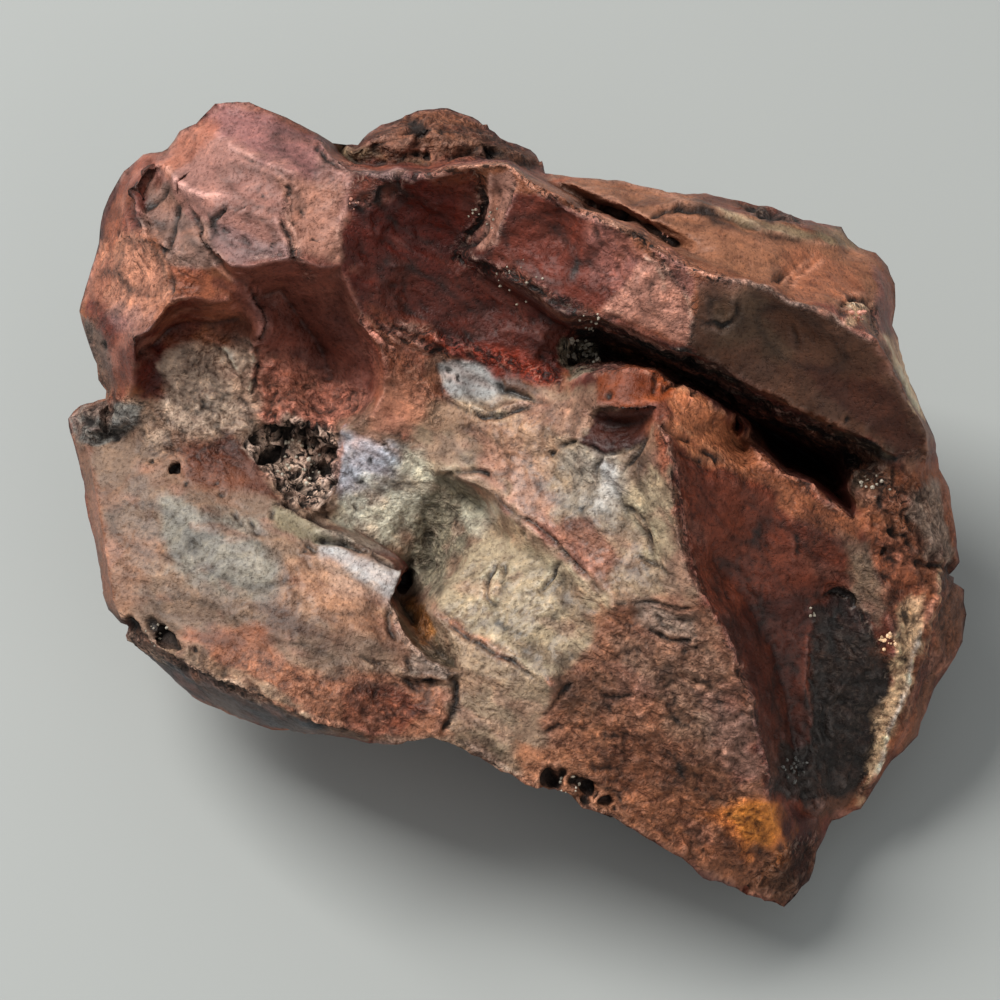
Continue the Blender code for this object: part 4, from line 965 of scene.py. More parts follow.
# ragged pits: u, v, radius and depth in mm
pits = [
    (174, 469, 0.46, 1.3), (151, 460, 0.26, 0.5), (219, 480, 0.22, 0.4), (219, 492, 0.24, 0.4),
    (302, 552, 0.22, 0.3), (182, 484, 0.18, 0.3), (258, 438, 0.55, 0.9), (268, 428, 0.6, 1.0),
    (277, 436, 0.85, 1.4), (283, 448, 0.65, 1.2), (270, 456, 0.75, 1.2), (262, 463, 0.4, 0.7),
    (290, 427, 0.45, 0.9), (301, 436, 0.7, 1.2), (312, 426, 0.6, 1.1), (321, 424, 0.4, 0.8),
    (304, 449, 0.4, 0.8), (313, 446, 0.35, 0.7), (329, 450, 0.7, 1.4), (324, 468, 0.6, 1.2),
    (328, 482, 0.42, 1.0), (322, 494, 0.4, 0.8), (284, 486, 0.5, 1.0), (294, 472, 0.55, 1.0),
    (300, 484, 0.5, 0.9), (310, 475, 0.45, 0.8), (309, 490, 0.45, 0.9), (317, 484, 0.38, 0.8),
    (290, 497, 0.4, 0.8), (302, 499, 0.4, 0.8), (248, 446, 0.35, 0.6), (131, 626, 0.75, 1.2),
    (140, 634, 0.6, 1.0), (150, 622, 0.42, 0.7), (158, 631, 0.85, 1.3), (167, 638, 0.85, 1.3),
    (178, 644, 0.55, 1.0), (192, 648, 0.28, 0.5), (549, 780, 0.8, 1.2), (558, 784, 0.75, 1.2),
    (563, 776, 0.45, 0.8), (578, 783, 0.5, 0.9), (588, 788, 0.6, 1.0), (597, 795, 0.36, 0.7),
    (604, 803, 0.42, 0.7), (612, 811, 0.36, 0.7), (747, 886, 0.42, 0.8), (585, 797, 0.36, 0.6),
    (289, 190, 0.22, 0.3), (302, 212, 0.2, 0.3), (293, 229, 0.22, 0.3), (316, 238, 0.24, 0.35),
    (125, 172, 0.32, 0.4), (260, 191, 0.14, 0.2), (244, 206, 0.14, 0.2), (268, 246, 0.18, 0.3),
    (383, 445, 0.28, 0.4), (386, 452, 0.24, 0.3), (370, 464, 0.28, 0.35), (362, 482, 0.2, 0.3),
    (411, 124, 0.7, 0.5), (420, 131, 0.6, 0.5), (418, 152, 0.36, 0.8), (426, 156, 0.36, 0.8),
    (380, 140, 0.3, 0.3), (490, 154, 0.5, 0.9), (485, 149, 0.36, 0.6), (440, 131, 0.24, 0.3),
    (611, 392, 0.28, 0.35), (693, 393, 0.24, 0.4), (752, 208, 0.45, 0.6), (763, 214, 0.45, 0.7),
    (774, 213, 0.55, 0.8), (786, 216, 0.45, 0.7), (797, 219, 0.36, 0.5), (742, 204, 0.28, 0.4),
    (888, 554, 0.36, 0.6), (880, 502, 0.45, 0.5), (910, 522, 0.36, 0.6), (920, 566, 0.45, 0.7),
    (846, 420, 0.26, 0.3), (830, 430, 0.26, 0.3), (92, 406, 0.28, 0.4), (86, 420, 0.4, 0.4),
    (108, 412, 0.32, 0.4), (103, 345, 0.34, 0.4), (107, 357, 0.26, 0.3), (118, 436, 0.5, 0.5),
    (446, 362, 0.22, 0.2), (452, 370, 0.24, 0.25), (458, 378, 0.22, 0.2), (449, 380, 0.2, 0.2),
]


def addPits(relief):
    # a hole with a smooth-step wall and a ragged rim, painted dark inside, as shade in the hole
    # and as the dark filling of the vug
    for u, v, radius, deep in pits:
        here, gap = nearSpot(relief, (u, v), radius, 2.5)
        cut = relief.front[here] * smoothStep(radius * 1.25, radius * 0.45, gap)
        relief.depth[here] -= cut * deep * mm * 0.8
        relief.dark[here] += cut


def skinRelief(points, normals, away):
    relief = newRelief(points, normals, away)
    for step in (addFlakeBowls, addWrinkles, addHiddenSides, addRoughPlaces, addScars, addCracks,
                 calmFolds, addRibs, addFlecks, addBeads, addLedges, addPits):
        step(relief)
    relief.dark = np.clip(relief.dark, 0.0, 1.0)
    relief.crust = np.clip(relief.crust, 0.0, 1.0)
    return relief


# screen colours of the jasper, 0 to 255
tones = {
    "maroon": (98, 48, 40), "deepMaroon": (60, 26, 20), "pink": (152, 98, 88),
    "palePink": (186, 130, 112), "mauve": (134, 88, 87), "orange": (168, 96, 66),
    "redOrange": (128, 54, 34), "rust": (140, 84, 56), "beige": (148, 126, 104),
    "paleBeige": (166, 148, 122), "grey": (152, 142, 130), "blueGrey": (156, 157, 156),
    "chocolate": (82, 54, 40), "olive": (84, 72, 56), "black": (16, 13, 12),
    "glossBlack": (34, 24, 19), "cream": (255, 212, 168), "amber": (246, 154, 64),
    "brown": (110, 72, 54), "darkBrown": (78, 52, 38), "floorBounceGrey": (74, 76, 80),
    "crustGrey": (104, 102, 98), "redBrown": (122, 66, 50), "greenGrey": (126, 120, 94),
    "bandRed": (74, 20, 10), "ashBeige": (156, 130, 112), "bandBrown": (78, 34, 25),
    "terraceBrown": (132, 106, 88), "terraceGrey": (126, 122, 112), "iceGreySheen": (200, 201, 202),
    "peach": (176, 135, 108), "earth": (138, 93, 71), "darkFace": (110, 52, 34),
    "wine": (66, 28, 19), "plateauSheen": (206, 200, 178), "lilacBlueSheen": (186, 193, 206),
    "slabRed": (94, 42, 31), "lilac": (128, 100, 98), "ashRed": (122, 96, 86),
    "dustyPink": (150, 106, 96), "dustyOrange": (182, 124, 100), "lobeBeige": (160, 112, 94),
    "scoopDark": (112, 62, 51), "stoneTan": (140, 114, 94), "hackleRed": (146, 50, 26),
    "crumbGrey": (176, 166, 150), "rustLight": (162, 102, 74), "lowBrown": (150, 99, 71),
    "ventBrown": (206, 178, 160), "ventShade": (86, 48, 36), "amberBrown": (250, 146, 70),
    "wrinkleRed": (166, 102, 84), "rustPale": (188, 116, 80), "hollowShadeRed": (50, 9, 4),
    "oliveGrey": (124, 116, 98), "terraceDim": (118, 96, 81), "ashBrown": (132, 96, 78),
    "rearTan": (140, 92, 67), "terraceLit": (198, 171, 150), "paleFacet": (146, 104, 90),
    "flankGrey": (84, 75, 68), "nubOrange": (142, 62, 16),
}

# patches from broad to small: tone, strength, fade in plan units, outline
patches = [
    ("terraceBrown", 1.0, 16, [(60, 396), (260, 396), (400, 430), (470, 470), (470, 770),
        (300, 770), (90, 640)]),
    ("stoneTan", 1.0, 16, [(404, 400), (600, 380), (664, 430), (684, 520), (700, 620), (640, 700),
        (540, 780), (440, 770), (398, 600)]),
    ("earth", 1.0, 16, [(560, 650), (650, 600), (712, 600), (740, 650), (776, 800), (800, 920),
        (520, 790)]),
    ("rust", 0.8, 14, [(840, 460), (960, 460), (970, 640), (900, 780), (840, 820), (896, 640)]),
    ("dustyPink", 0.95, 8, [(150, 162), (215, 104), (262, 108), (320, 150), (350, 172), (348, 206),
        (338, 245), (341, 267), (292, 258), (232, 266), (205, 243), (170, 205)]),
    ("mauve", 0.75, 12, [(215, 106), (262, 108), (320, 148), (310, 172), (262, 158), (212, 126)]),
    ("orange", 0.5, 8, [(156, 160), (200, 124), (214, 132), (176, 166), (166, 178)]),
    ("lobeBeige", 0.8, 10, [(276, 180), (340, 186), (340, 262), (296, 258), (284, 222)]),
    ("ashRed", 0.9, 6, [(146, 186), (166, 182), (186, 210), (206, 226), (226, 262), (214, 268),
        (170, 262), (142, 226)]),
    ("lilac", 0.8, 6, [(208, 222), (232, 226), (262, 248), (288, 250), (288, 258), (250, 266),
        (224, 260)]),
    ("dustyOrange", 0.95, 9, [(96, 246), (122, 228), (150, 244), (168, 262), (174, 296),
        (158, 306), (150, 326), (110, 306), (80, 300)]),
    ("redOrange", 0.4, 12, [(80, 300), (96, 250), (110, 262), (104, 300), (90, 320)]),
    ("lilac", 0.5, 10, [(108, 300), (140, 306), (154, 312), (150, 334), (136, 338), (116, 330)]),
    ("redBrown", 0.85, 7, [(103, 215), (124, 172), (150, 160), (144, 182), (134, 205), (130, 232),
        (106, 250)]),
    ("redBrown", 0.8, 6, [(104, 330), (134, 338), (134, 388), (118, 388), (106, 362)]),
    ("flankGrey", 0.85, 5, [(78, 308), (96, 322), (108, 352), (116, 390), (98, 394), (80, 340)]),
    # painted shade: the hollow under the lobe's overhanging edge is given the dark band red
    ("bandRed", 0.95, 8, [(136, 340), (158, 318), (168, 303), (192, 299), (214, 318), (200, 338),
        (172, 360), (160, 396), (140, 400)]),
    ("orange", 0.9, 4, [(176, 268), (204, 266), (214, 276), (214, 296), (180, 294)]),
    ("scoopDark", 0.95, 8, [(222, 268), (290, 258), (341, 266), (368, 330), (388, 369), (382, 400),
        (350, 414), (300, 372), (262, 350), (226, 300)]),
    ("bandBrown", 0.6, 10, [(250, 300), (340, 300), (376, 370), (340, 384), (290, 350)]),
    ("redBrown", 0.7, 8, [(196, 300), (226, 296), (256, 322), (256, 344), (222, 334)]),
    ("wrinkleRed", 0.95, 10, [(258, 350), (300, 366), (366, 396), (350, 424), (330, 434),
        (270, 424), (244, 396)]),
    ("terraceLit", 0.85, 14, [(190, 336), (230, 336), (250, 360), (254, 420), (210, 450),
        (150, 440), (160, 400), (168, 366)]),
    ("ventShade", 0.95, 12, [(170, 442), (232, 430), (256, 448), (280, 500), (236, 498),
        (180, 486)]),
    ("terraceDim", 0.85, 14, [(84, 440), (150, 444), (190, 480), (280, 505), (330, 545),
        (220, 540), (100, 540)]),
    # partly painted sheen: the terrace's blue-grey is in part the window's reflection
    ("terraceGrey", 0.85, 18, [(170, 510), (260, 520), (290, 560), (280, 604), (220, 600),
        (160, 560)]),
    # painted sheen: the window's pale reflection on the up-facing terrace
    ("iceGreySheen", 0.78, 15, [(322, 546), (372, 552), (404, 570), (400, 594), (384, 604),
        (334, 590)]),
    ("peach", 0.85, 16, [(280, 552), (340, 570), (390, 602), (390, 640), (330, 640), (276, 600)]),
    ("greenGrey", 0.6, 8, [(278, 505), (326, 524), (332, 540), (300, 542), (274, 524)]),
    ("terraceDim", 0.9, 18, [(100, 540), (180, 590), (280, 610), (390, 640), (340, 670),
        (220, 650), (120, 612)]),
    ("rustLight", 0.8, 12, [(180, 630), (260, 630), (300, 664), (400, 680), (458, 690), (454, 738),
        (330, 728), (230, 684)]),
    ("redOrange", 0.6, 8, [(340, 690), (400, 690), (430, 710), (400, 732), (350, 726)]),
    ("brown", 0.4, 10, [(306, 690), (376, 688), (396, 712), (350, 724), (312, 714)]),
    ("brown", 0.85, 5, [(74, 446), (90, 446), (106, 560), (118, 616), (100, 598)]),
    ("beige", 0.6, 5, [(170, 642), (200, 652), (250, 676), (300, 704), (262, 698), (200, 672)]),
    # painted reflection: the underside strip is coloured violet-grey for the pale floor mirrored
    # in it
    ("floorBounceGrey", 0.98, 4, [(126, 641), (172, 664), (206, 682), (265, 706), (330, 734),
        (396, 746), (304, 748), (206, 716), (150, 680)]),
    # painted sheen: the bluish reflection of the window on the plateau
    ("lilacBlueSheen", 0.9, 20, [(340, 440), (380, 436), (410, 446), (404, 496), (356, 516),
        (336, 476)]),
    # painted sheen: the plateau's pale reflection of the window
    ("plateauSheen", 0.85, 18, [(396, 444), (446, 440), (470, 470), (430, 480), (420, 530), (380, 548),
        (326, 522), (346, 500), (390, 480)]),
    ("oliveGrey", 0.95, 14, [(436, 474), (466, 476), (490, 500), (470, 540), (462, 566),
        (430, 600), (398, 566), (420, 530)]),
    # painted sheen, as on the plateau
    ("plateauSheen", 0.6, 8, [(466, 500), (498, 502), (504, 520), (486, 540), (468, 536)]),
    ("blueGrey", 0.92, 4, [(438, 364), (462, 357), (482, 361), (500, 374), (500, 392), (536, 402),
        (509, 411), (484, 414), (464, 402), (444, 394)]),
    ("darkBrown", 0.9, 3, [(501, 373), (511, 373), (518, 380), (532, 384), (540, 397), (520, 394),
        (504, 391)]),
    ("redOrange", 0.5, 10, [(356, 318), (434, 345), (420, 400), (386, 396), (372, 350)]),
    ("dustyOrange", 0.8, 12, [(386, 372), (418, 370), (440, 400), (440, 436), (360, 438),
        (374, 400)]),
    # partly painted sheen: the pale beige of the up-facing central facets, over the stone's own
    # tone
    ("beige", 0.95, 12, [(438, 402), (536, 404), (594, 392), (610, 420), (650, 466), (676, 590),
        (620, 596), (520, 520), (443, 470), (404, 436)]),
    ("palePink", 0.5, 14, [(470, 430), (520, 440), (560, 520), (600, 590), (520, 512),
        (480, 470)]),
    ("palePink", 0.4, 12, [(540, 400), (592, 394), (590, 424), (560, 440), (530, 424)]),
    ("peach", 0.7, 14, [(482, 410), (550, 412), (562, 452), (540, 476), (496, 462)]),
    # partly painted sheen on the upper central facet
    ("grey", 0.75, 16, [(560, 446), (600, 446), (640, 480), (610, 520), (570, 510)]),
    # painted sheen on the up-facing central facet
    ("iceGreySheen", 0.5, 14, [(584, 484), (612, 476), (618, 500), (596, 512)]),
    ("paleBeige", 0.85, 8, [(622, 500), (648, 450), (668, 490), (674, 560), (650, 560)]),
    ("redBrown", 0.7, 10, [(524, 520), (590, 522), (614, 562), (606, 584), (556, 548)]),
    # partly painted sheen on the bright central facet
    ("paleBeige", 0.95, 10, [(470, 548), (500, 514), (540, 550), (581, 575), (613, 608),
        (592, 650), (551, 680), (486, 640), (438, 608)]),
    # partly painted sheen on the lower central facet
    ("beige", 0.95, 12, [(438, 616), (486, 650), (551, 686), (540, 712), (500, 756), (472, 740),
        (460, 690)]),
    ("olive", 0.7, 10, [(456, 690), (474, 720), (500, 758), (476, 748), (458, 736)]),
    ("earth", 0.9, 18, [(600, 616), (715, 613), (740, 660), (756, 730), (764, 790), (700, 770),
        (630, 730), (560, 690)]),
    ("darkBrown", 0.6, 14, [(556, 684), (600, 660), (640, 670), (620, 700), (570, 720)]),
    ("grey", 0.5, 12, [(640, 606), (692, 616), (694, 634), (660, 632), (640, 624)]),
    ("mauve", 0.5, 14, [(700, 690), (740, 680), (766, 770), (740, 790), (710, 750)]),
    ("beige", 0.4, 12, [(660, 716), (710, 716), (704, 744), (668, 740)]),
    ("ashBeige", 0.35, 26, [(620, 640), (700, 620), (750, 700), (764, 770), (690, 750)]),
    ("lowBrown", 0.9, 16, [(520, 740), (600, 730), (690, 770), (766, 800), (784, 850), (770, 900),
        (640, 836), (520, 780)]),
    ("rust", 0.6, 12, [(600, 770), (720, 800), (770, 880), (700, 874), (630, 826)]),
    ("amberBrown", 0.75, 16, [(700, 812), (740, 796), (780, 800), (788, 836), (778, 858),
        (748, 850), (722, 836)]),
    ("amber", 0.7, 9, [(726, 814), (750, 804), (770, 808), (778, 834), (770, 850), (748, 842)]),
    ("darkBrown", 0.58, 5, [(764, 872), (790, 852), (814, 836), (816, 876), (786, 910),
        (756, 898)]),
    ("darkFace", 0.98, 6, [(674, 440), (735, 430), (800, 470), (862, 527), (896, 640), (880, 720),
        (822, 822), (768, 800), (755, 711), (735, 660), (715, 613), (687, 571), (676, 512)]),
    ("rust", 0.9, 14, [(664, 380), (706, 394), (766, 455), (812, 482), (864, 526), (850, 550),
        (790, 520), (730, 462), (690, 440)]),
    # painted light: this top of the front ridge is made paler to stand for the light falling on it
    ("rustPale", 0.9, 10, [(662, 384), (704, 394), (744, 424), (764, 462), (734, 470), (692, 448),
        (672, 426)]),
    ("wine", 0.85, 12, [(726, 610), (800, 600), (808, 640), (808, 700), (818, 790), (772, 796),
        (756, 716), (736, 660)]),
    ("glossBlack", 0.98, 5, [(842, 592), (820, 606), (808, 642), (807, 700), (815, 722),
        (813, 740), (784, 744), (774, 790), (800, 806), (817, 820), (846, 814), (872, 770),
        (888, 690), (892, 659), (868, 622)]),
    ("beige", 0.75, 8, [(840, 536), (872, 550), (886, 600), (880, 628), (862, 606), (850, 570)]),
    ("orange", 0.7, 10, [(870, 536), (904, 545), (918, 600), (900, 630), (884, 590)]),
    # painted light: the right edge strip's cream is lifted to stand for the light it catches
    ("cream", 0.9, 6, [(893, 632), (906, 600), (922, 600), (922, 650), (906, 690), (880, 760),
        (862, 806), (868, 770), (878, 720), (896, 680)]),
    ("rust", 0.85, 10, [(848, 468), (905, 462), (930, 490), (920, 536), (896, 540), (868, 528)]),
    ("grey", 0.6, 8, [(912, 490), (940, 480), (950, 520), (950, 556), (926, 556), (914, 520)]),
    ("brown", 0.9, 5, [(946, 570), (970, 590), (970, 640), (925, 740), (900, 760), (936, 640)]),
    ("slabRed", 0.98, 8, [(500, 188), (554, 200), (620, 232), (640, 270), (606, 312), (540, 299),
        (478, 266), (498, 240)]),
    ("pink", 0.6, 12, [(590, 222), (640, 242), (650, 270), (620, 300), (596, 270)]),
    ("palePink", 0.95, 5, [(646, 252), (664, 262), (690, 290), (693, 319), (689, 347), (640, 328),
        (602, 312), (630, 276)]),
    ("pink", 0.8, 5, [(640, 240), (684, 258), (697, 280), (690, 300), (664, 264)]),
    ("chocolate", 0.98, 4, [(697, 278), (768, 289), (828, 313), (876, 341), (918, 410), (928, 434),
        (912, 462), (852, 431), (790, 404), (723, 367), (689, 347), (694, 315)]),
    ("olive", 0.4, 14, [(700, 290), (760, 300), (790, 350), (720, 344)]),
    ("wine", 0.6, 10, [(810, 372), (880, 372), (920, 440), (905, 460), (850, 428)]),
    ("cream", 0.5, 3, [(884, 334), (896, 336), (926, 416), (918, 414)]),
    ("rearTan", 0.97, 5, [(546, 172), (640, 184), (740, 200), (850, 236), (896, 284), (884, 322),
        (790, 292), (715, 266), (640, 222), (560, 184)]),
    ("orange", 0.4, 10, [(780, 250), (870, 270), (860, 310), (790, 290)]),
    ("greenGrey", 0.6, 6, [(700, 204), (760, 224), (840, 226), (872, 252), (820, 242),
        (750, 226)]),
    ("mauve", 0.6, 6, [(876, 272), (894, 284), (894, 330), (876, 332)]),
    # painted glint on the rear slab's pale knob
    ("cream", 0.7, 4, [(846, 304), (862, 304), (864, 324), (852, 322)]),
    ("black", 0.85, 4, [(744, 204), (800, 214), (804, 222), (764, 220)]),
    ("brown", 0.95, 7, [(340, 148), (392, 118), (448, 104), (505, 132), (545, 165), (506, 160),
        (400, 168), (352, 164)]),
    ("rust", 0.6, 8, [(376, 120), (450, 108), (476, 120), (450, 140), (400, 136)]),
    ("greenGrey", 0.45, 8, [(336, 148), (380, 150), (420, 162), (350, 164)]),
    ("darkBrown", 0.7, 8, [(480, 132), (520, 146), (542, 168), (500, 160), (474, 150)]),
    ("bandRed", 0.98, 6, [(352, 178), (474, 170), (486, 211), (462, 256), (540, 306), (572, 328),
        (562, 384), (520, 380), (434, 350), (360, 318), (340, 262), (352, 206)]),
    ("redBrown", 0.55, 5, [(349, 192), (358, 178), (378, 178), (400, 178), (398, 200),
        (362, 206)]),
    ("bandBrown", 0.7, 14, [(400, 270), (500, 290), (560, 330), (556, 372), (440, 330),
        (360, 310)]),
    ("hackleRed", 0.65, 10, [(430, 340), (500, 340), (556, 366), (552, 390), (500, 371),
        (434, 352)]),
    ("paleFacet", 0.95, 3, [(488, 174), (512, 170), (517, 182), (506, 206), (500, 224), (496, 242),
        (484, 250), (470, 255), (484, 236), (488, 208)]),
    # painted shade: the deep slot is painted black inside
    ("black", 1.0, 2.5, [(578, 320), (618, 333), (642, 338), (689, 352), (725, 370), (760, 394),
        (813, 420), (866, 443), (905, 457), (880, 470), (848, 506), (830, 500), (786, 474),
        (756, 440), (742, 424), (700, 392), (672, 376), (640, 364), (600, 362), (576, 352)]),
    ("olive", 0.5, 5, [(860, 452), (900, 468), (880, 500), (856, 514), (850, 490)]),
    ("oliveGrey", 0.85, 4, [(564, 340), (590, 338), (600, 350), (600, 366), (572, 380),
        (558, 362)]),
    ("nubOrange", 0.95, 5, [(596, 374), (630, 367), (656, 369), (670, 386), (658, 408), (618, 412),
        (596, 402)]),
    # painted shade: the hollow under the nub keeps the dark of its shadow in this deep red
    ("hollowShadeRed", 0.97, 2.5, [(578, 441), (590, 424), (600, 411), (645, 406), (657, 410),
        (652, 427), (640, 441), (624, 449), (606, 456), (590, 449)]),
    ("crustGrey", 0.95, 4, [(68, 419), (80, 403), (105, 396), (142, 406), (136, 427), (100, 442),
        (76, 440)]),
    ("ventBrown", 0.85, 4, [(242, 448), (262, 424), (292, 416), (334, 432), (334, 480), (318, 508),
        (290, 505), (270, 476)]),
    ("palePink", 0.8, 4, [(332, 452), (344, 440), (338, 470), (334, 480)]),
    ("olive", 0.9, 4, [(398, 600), (420, 596), (434, 632), (456, 668), (444, 672), (410, 644),
        (396, 616)]),
    ("amber", 0.35, 5, [(404, 600), (420, 602), (432, 632), (420, 640)]),
    # painted shade: the notch's crack is painted black
    ("black", 0.95, 3, [(399, 574), (410, 568), (408, 592), (394, 604)]),
    ("grey", 0.8, 3, [(412, 650), (446, 674), (446, 680), (413, 676)]),
]

# thin coloured runs along ridges: tone, strength, half width in plan units, run
veins = [
    ("orange", 0.95, 8, [(655, 432), (661, 448), (666, 470)]),
    ("redOrange", 0.8, 7, [(666, 440), (672, 470), (678, 500), (690, 560), (706, 600)]),
    ("palePink", 0.5, 6, [(480, 470), (503, 496), (545, 518)]),
    ("redBrown", 0.7, 4, [(503, 508), (532, 525), (555, 547), (600, 594)]),
    ("orange", 0.6, 4, [(445, 620), (486, 644), (520, 662), (551, 682)]),
    ("orange", 0.7, 6, [(688, 394), (740, 430), (766, 462), (812, 483), (850, 516), (880, 530)]),
    ("cream", 0.6, 3, [(940, 562), (937, 604), (926, 642), (908, 700), (876, 776)]),
    ("paleBeige", 0.5, 4, [(170, 648), (200, 662), (265, 692), (310, 716)]),
    ("olive", 0.6, 5, [(700, 362), (760, 396), (830, 426), (890, 452)]),
    ("redBrown", 0.5, 5, [(150, 160), (128, 180), (112, 214)]),
]

# the jasper's flow, and sizes in metres of the noise that frays patches, breaks up veins and
# makes specks
flow = {
    "turn": math.radians(24),
    "stretch": 0.6,
    "fraySize": 0.0027,
    "breakSize": 0.0016,
    "speckSize": 0.0036,
    "steepSize": 0.006,
}

# clouds and specks over the whole stone, then over the patches too: tone, strength, the noise
# values where the tone starts and is full, noise size in metres, layers, seed
groundClouds = [
    ("rust", 0.85, 0.10, 0.32, 0.012, 5, 61), ("deepMaroon", 0.85, -0.12, -0.35, 0.012, 5, 61),
    ("ashBrown", 0.85, 0.30, 0.5, 0.017, 5, 71), ("redBrown", 0.85, 0.1, 0.5, 0.0036, 4, 67),
]
upperClouds = [
    ("rust", 0.30, 0.15, 0.55, 0.0055, 4, 77), ("deepMaroon", 0.50, 0.20, 0.60, 0.0045, 5, 79),
    ("palePink", 0.22, 0.25, 0.60, 0.0030, 3, 83),
]


def fromScreen(tone):
    # a 0-255 screen colour to the linear value that shaders use
    value = np.asarray(tone, dtype=float) / 255.0
    return np.where(value <= 0.04045, value / 12.92, ((value + 0.055) / 1.055) ** 2.4)


def addClouds(tint, clouds, places, strengthHere):
    # each cloud takes the tint towards its tone where its layered noise is high
    for name, strength, low, high, size, layers, seed in clouds:
        field = layeredNoise(places, size, layers, seed)
        share = (strength * strengthHere * smoothStep(low, high, field))[:, None]
        tint = tint * (1 - share) + fromScreen(tones[name]) * share
    return tint


def stoneTint(relief, patched, bulged):
    # base colour on each point: cloudy jasper everywhere, then the patches of the front
    points, places, pale = relief.points, relief.bent, relief.pale
    run = math.cos(flow["turn"]) * right - math.sin(flow["turn"]) * up
    streaked = points - flow["stretch"] * (points @ run)[:, None] * run
    tint = np.tile(fromScreen(tones["maroon"]), (len(points), 1))
    tint = addClouds(tint, groundClouds, streaked, 1.0)
    ragged = layeredNoise(streaked, flow["fraySize"], 4, 75)
    broken = smoothStep(-0.3, 0.3, softNoise(points, flow["breakSize"], 73))
    for name, strength, fade, outline in patches:
        here = nearby(places, outline, 3 * fade)
        gap = ringDistance(places[here], outline) + fade * 1.1 * ragged[here]
        share = patched[here] * strength * smoothStep(fade * 0.55, -fade * 0.55, gap)
        tint[here] += (fromScreen(tones[name]) - tint[here]) * share[:, None]
    for name, strength, half, vein in veins:
        here = nearby(places, vein, 3 * half)
        gap = lineDistance(places[here], vein)[0]
        share = patched[here] * strength * np.exp(-(gap / half) ** 2) * broken[here]
        tint[here] += (fromScreen(tones[name]) - tint[here]) * share[:, None]
    # clouds of rust, wine and ash run through every patch but stay off the even faces
    stirred = np.ones(len(points))
    for _, outline in calmFaces:
        here = nearby(places, outline, 14)
        stirred[here] = np.minimum(stirred[here], 1.0 - 0.85 * patched[here] * within(
            places[here], outline, 8.0))
    tint = addClouds(tint, upperClouds, streaked, stirred)
    # lips, ribs and beads are made pale: a painted highlight, with the hackles' own pale streaks
    tint += (np.minimum(tint * 2.2 + 0.10, 0.75) - tint) * (0.85 * pale)[:, None]
    # crests are lighter, part wear and part painted highlight
    crestLightening = (smoothStep(0.04, 0.20, bulged) * (0.25 + 0.35 * broken))[:, None]
    tint = tint * (1 - crestLightening) + (tint * 1.5 + 0.06) * crestLightening
    # hollows are darker: painted shade
    tint = tint * (1 - 0.55 * smoothStep(-0.02, -0.22, bulged))[:, None]
    speck = layeredNoise(streaked, flow["speckSize"], 4, 67)
    return np.clip(tint * (1 + 0.16 * speck)[:, None], 0.002, 0.9)


# where the broken face shines most, which is the dark right-hand facet and a few fresh
# flakes: strength, fade in plan units, outline
shines = [
    (0.3, 6, [(842, 592), (808, 642), (807, 700), (813, 740), (780, 744), (776, 788), (817, 820),
        (846, 814), (888, 690), (868, 622)]),
    (0.15, 12, [(676, 520), (760, 560), (820, 620), (815, 780), (770, 790), (720, 620)]),
    (0.16, 30, [(130, 480), (230, 500), (400, 560), (404, 610), (300, 620), (120, 570)]),
    (0.3, 20, [(340, 436), (410, 440), (408, 490), (340, 500)]),
    (0.3, 20, [(500, 420), (560, 430), (596, 476), (650, 490), (660, 580), (600, 590),
        (500, 500)]),
    (0.3, 18, [(476, 550), (581, 575), (613, 608), (551, 688), (486, 647), (438, 612)]),
    (0.25, 8, [(440, 372), (474, 361), (536, 402), (484, 418)]),
]


def glossMask(relief):
    # the strongest of the outlines' shares at each point
    gloss = np.zeros(len(relief.points))
    for strength, fade, outline in shines:
        gloss = np.maximum(gloss, strength * within(relief.bent, outline, fade))
    return gloss * relief.front


def newPiece(name, points, faces):
    mesh = bpy.data.meshes.new(name)
    mesh.vertices.add(len(points))
    mesh.vertices.foreach_set("co", np.asarray(points, dtype=np.float32).ravel())
    sides = faces.shape[1]
    mesh.loops.add(faces.size)
    mesh.loops.foreach_set("vertex_index", faces.astype(np.int32).ravel())
    mesh.polygons.add(len(faces))
    mesh.polygons.foreach_set("loop_start", np.arange(0, faces.size, sides, dtype=np.int32))
    mesh.polygons.foreach_set("use_smooth", np.ones(len(faces), dtype=bool))
    mesh.update(calc_edges=True)
    mesh.validate()
    piece = bpy.data.objects.new(name, mesh)
    bpy.context.scene.collection.objects.link(piece)
    return piece


def putAttributes(piece, fields):
    # colours have three columns and masks have one
    for name, values in fields.items():
        kind, key = ("FLOAT_COLOR", "color") if values.ndim == 2 else ("FLOAT", "value")
        layer = piece.data.attributes.new(name, kind, "POINT")
        if values.ndim == 2:
            values = np.column_stack([values, np.ones(len(values))])
        layer.data.foreach_set(key, values.astype(np.float32).ravel())


def wantedEdge(points, faces, detail):
    # how long a triangle's edge may be: fine beside cracks, ledges and pits, coarse behind
    turned = facing(points, pointNormals(points, faces))
    near = np.zeros(len(points))
    places = planPlace(points)

    def refineNear(outline, margin, far, close, distance):
        here = nearby(places, outline, margin)
        near[here] = np.maximum(near[here], smoothStep(far, close, distance(places[here])))

    if detail:
        for *_, run in cracks + ledges + ribs:
            refineNear(run, 12, 7.0, 3.0, lambda at: lineDistance(at, run)[0])
        for u, v, radius, _ in pits:
            reach = radius * plan["perMm"]
            refineNear([(u, v)], reach + 12, 9.0, 2.0,
                       lambda at: np.hypot(at[:, 0] - u, at[:, 1] - v) - reach)
        for name in ("ventRim", "slotLip", "crust", "tip"):
            outline = roughPlaces[name][-1]
            refineNear(outline, 12, 10.0, 2.0, lambda at: ringDistance(at, outline))
    seen = skin["frontEdge"] + (skin["fineEdge"] - skin["frontEdge"]) * near
    seen = seen / np.sqrt(np.clip(turned, 0.15, 1.0))
    return skin["hiddenEdge"] + (seen - skin["hiddenEdge"]) * frontMask(turned)


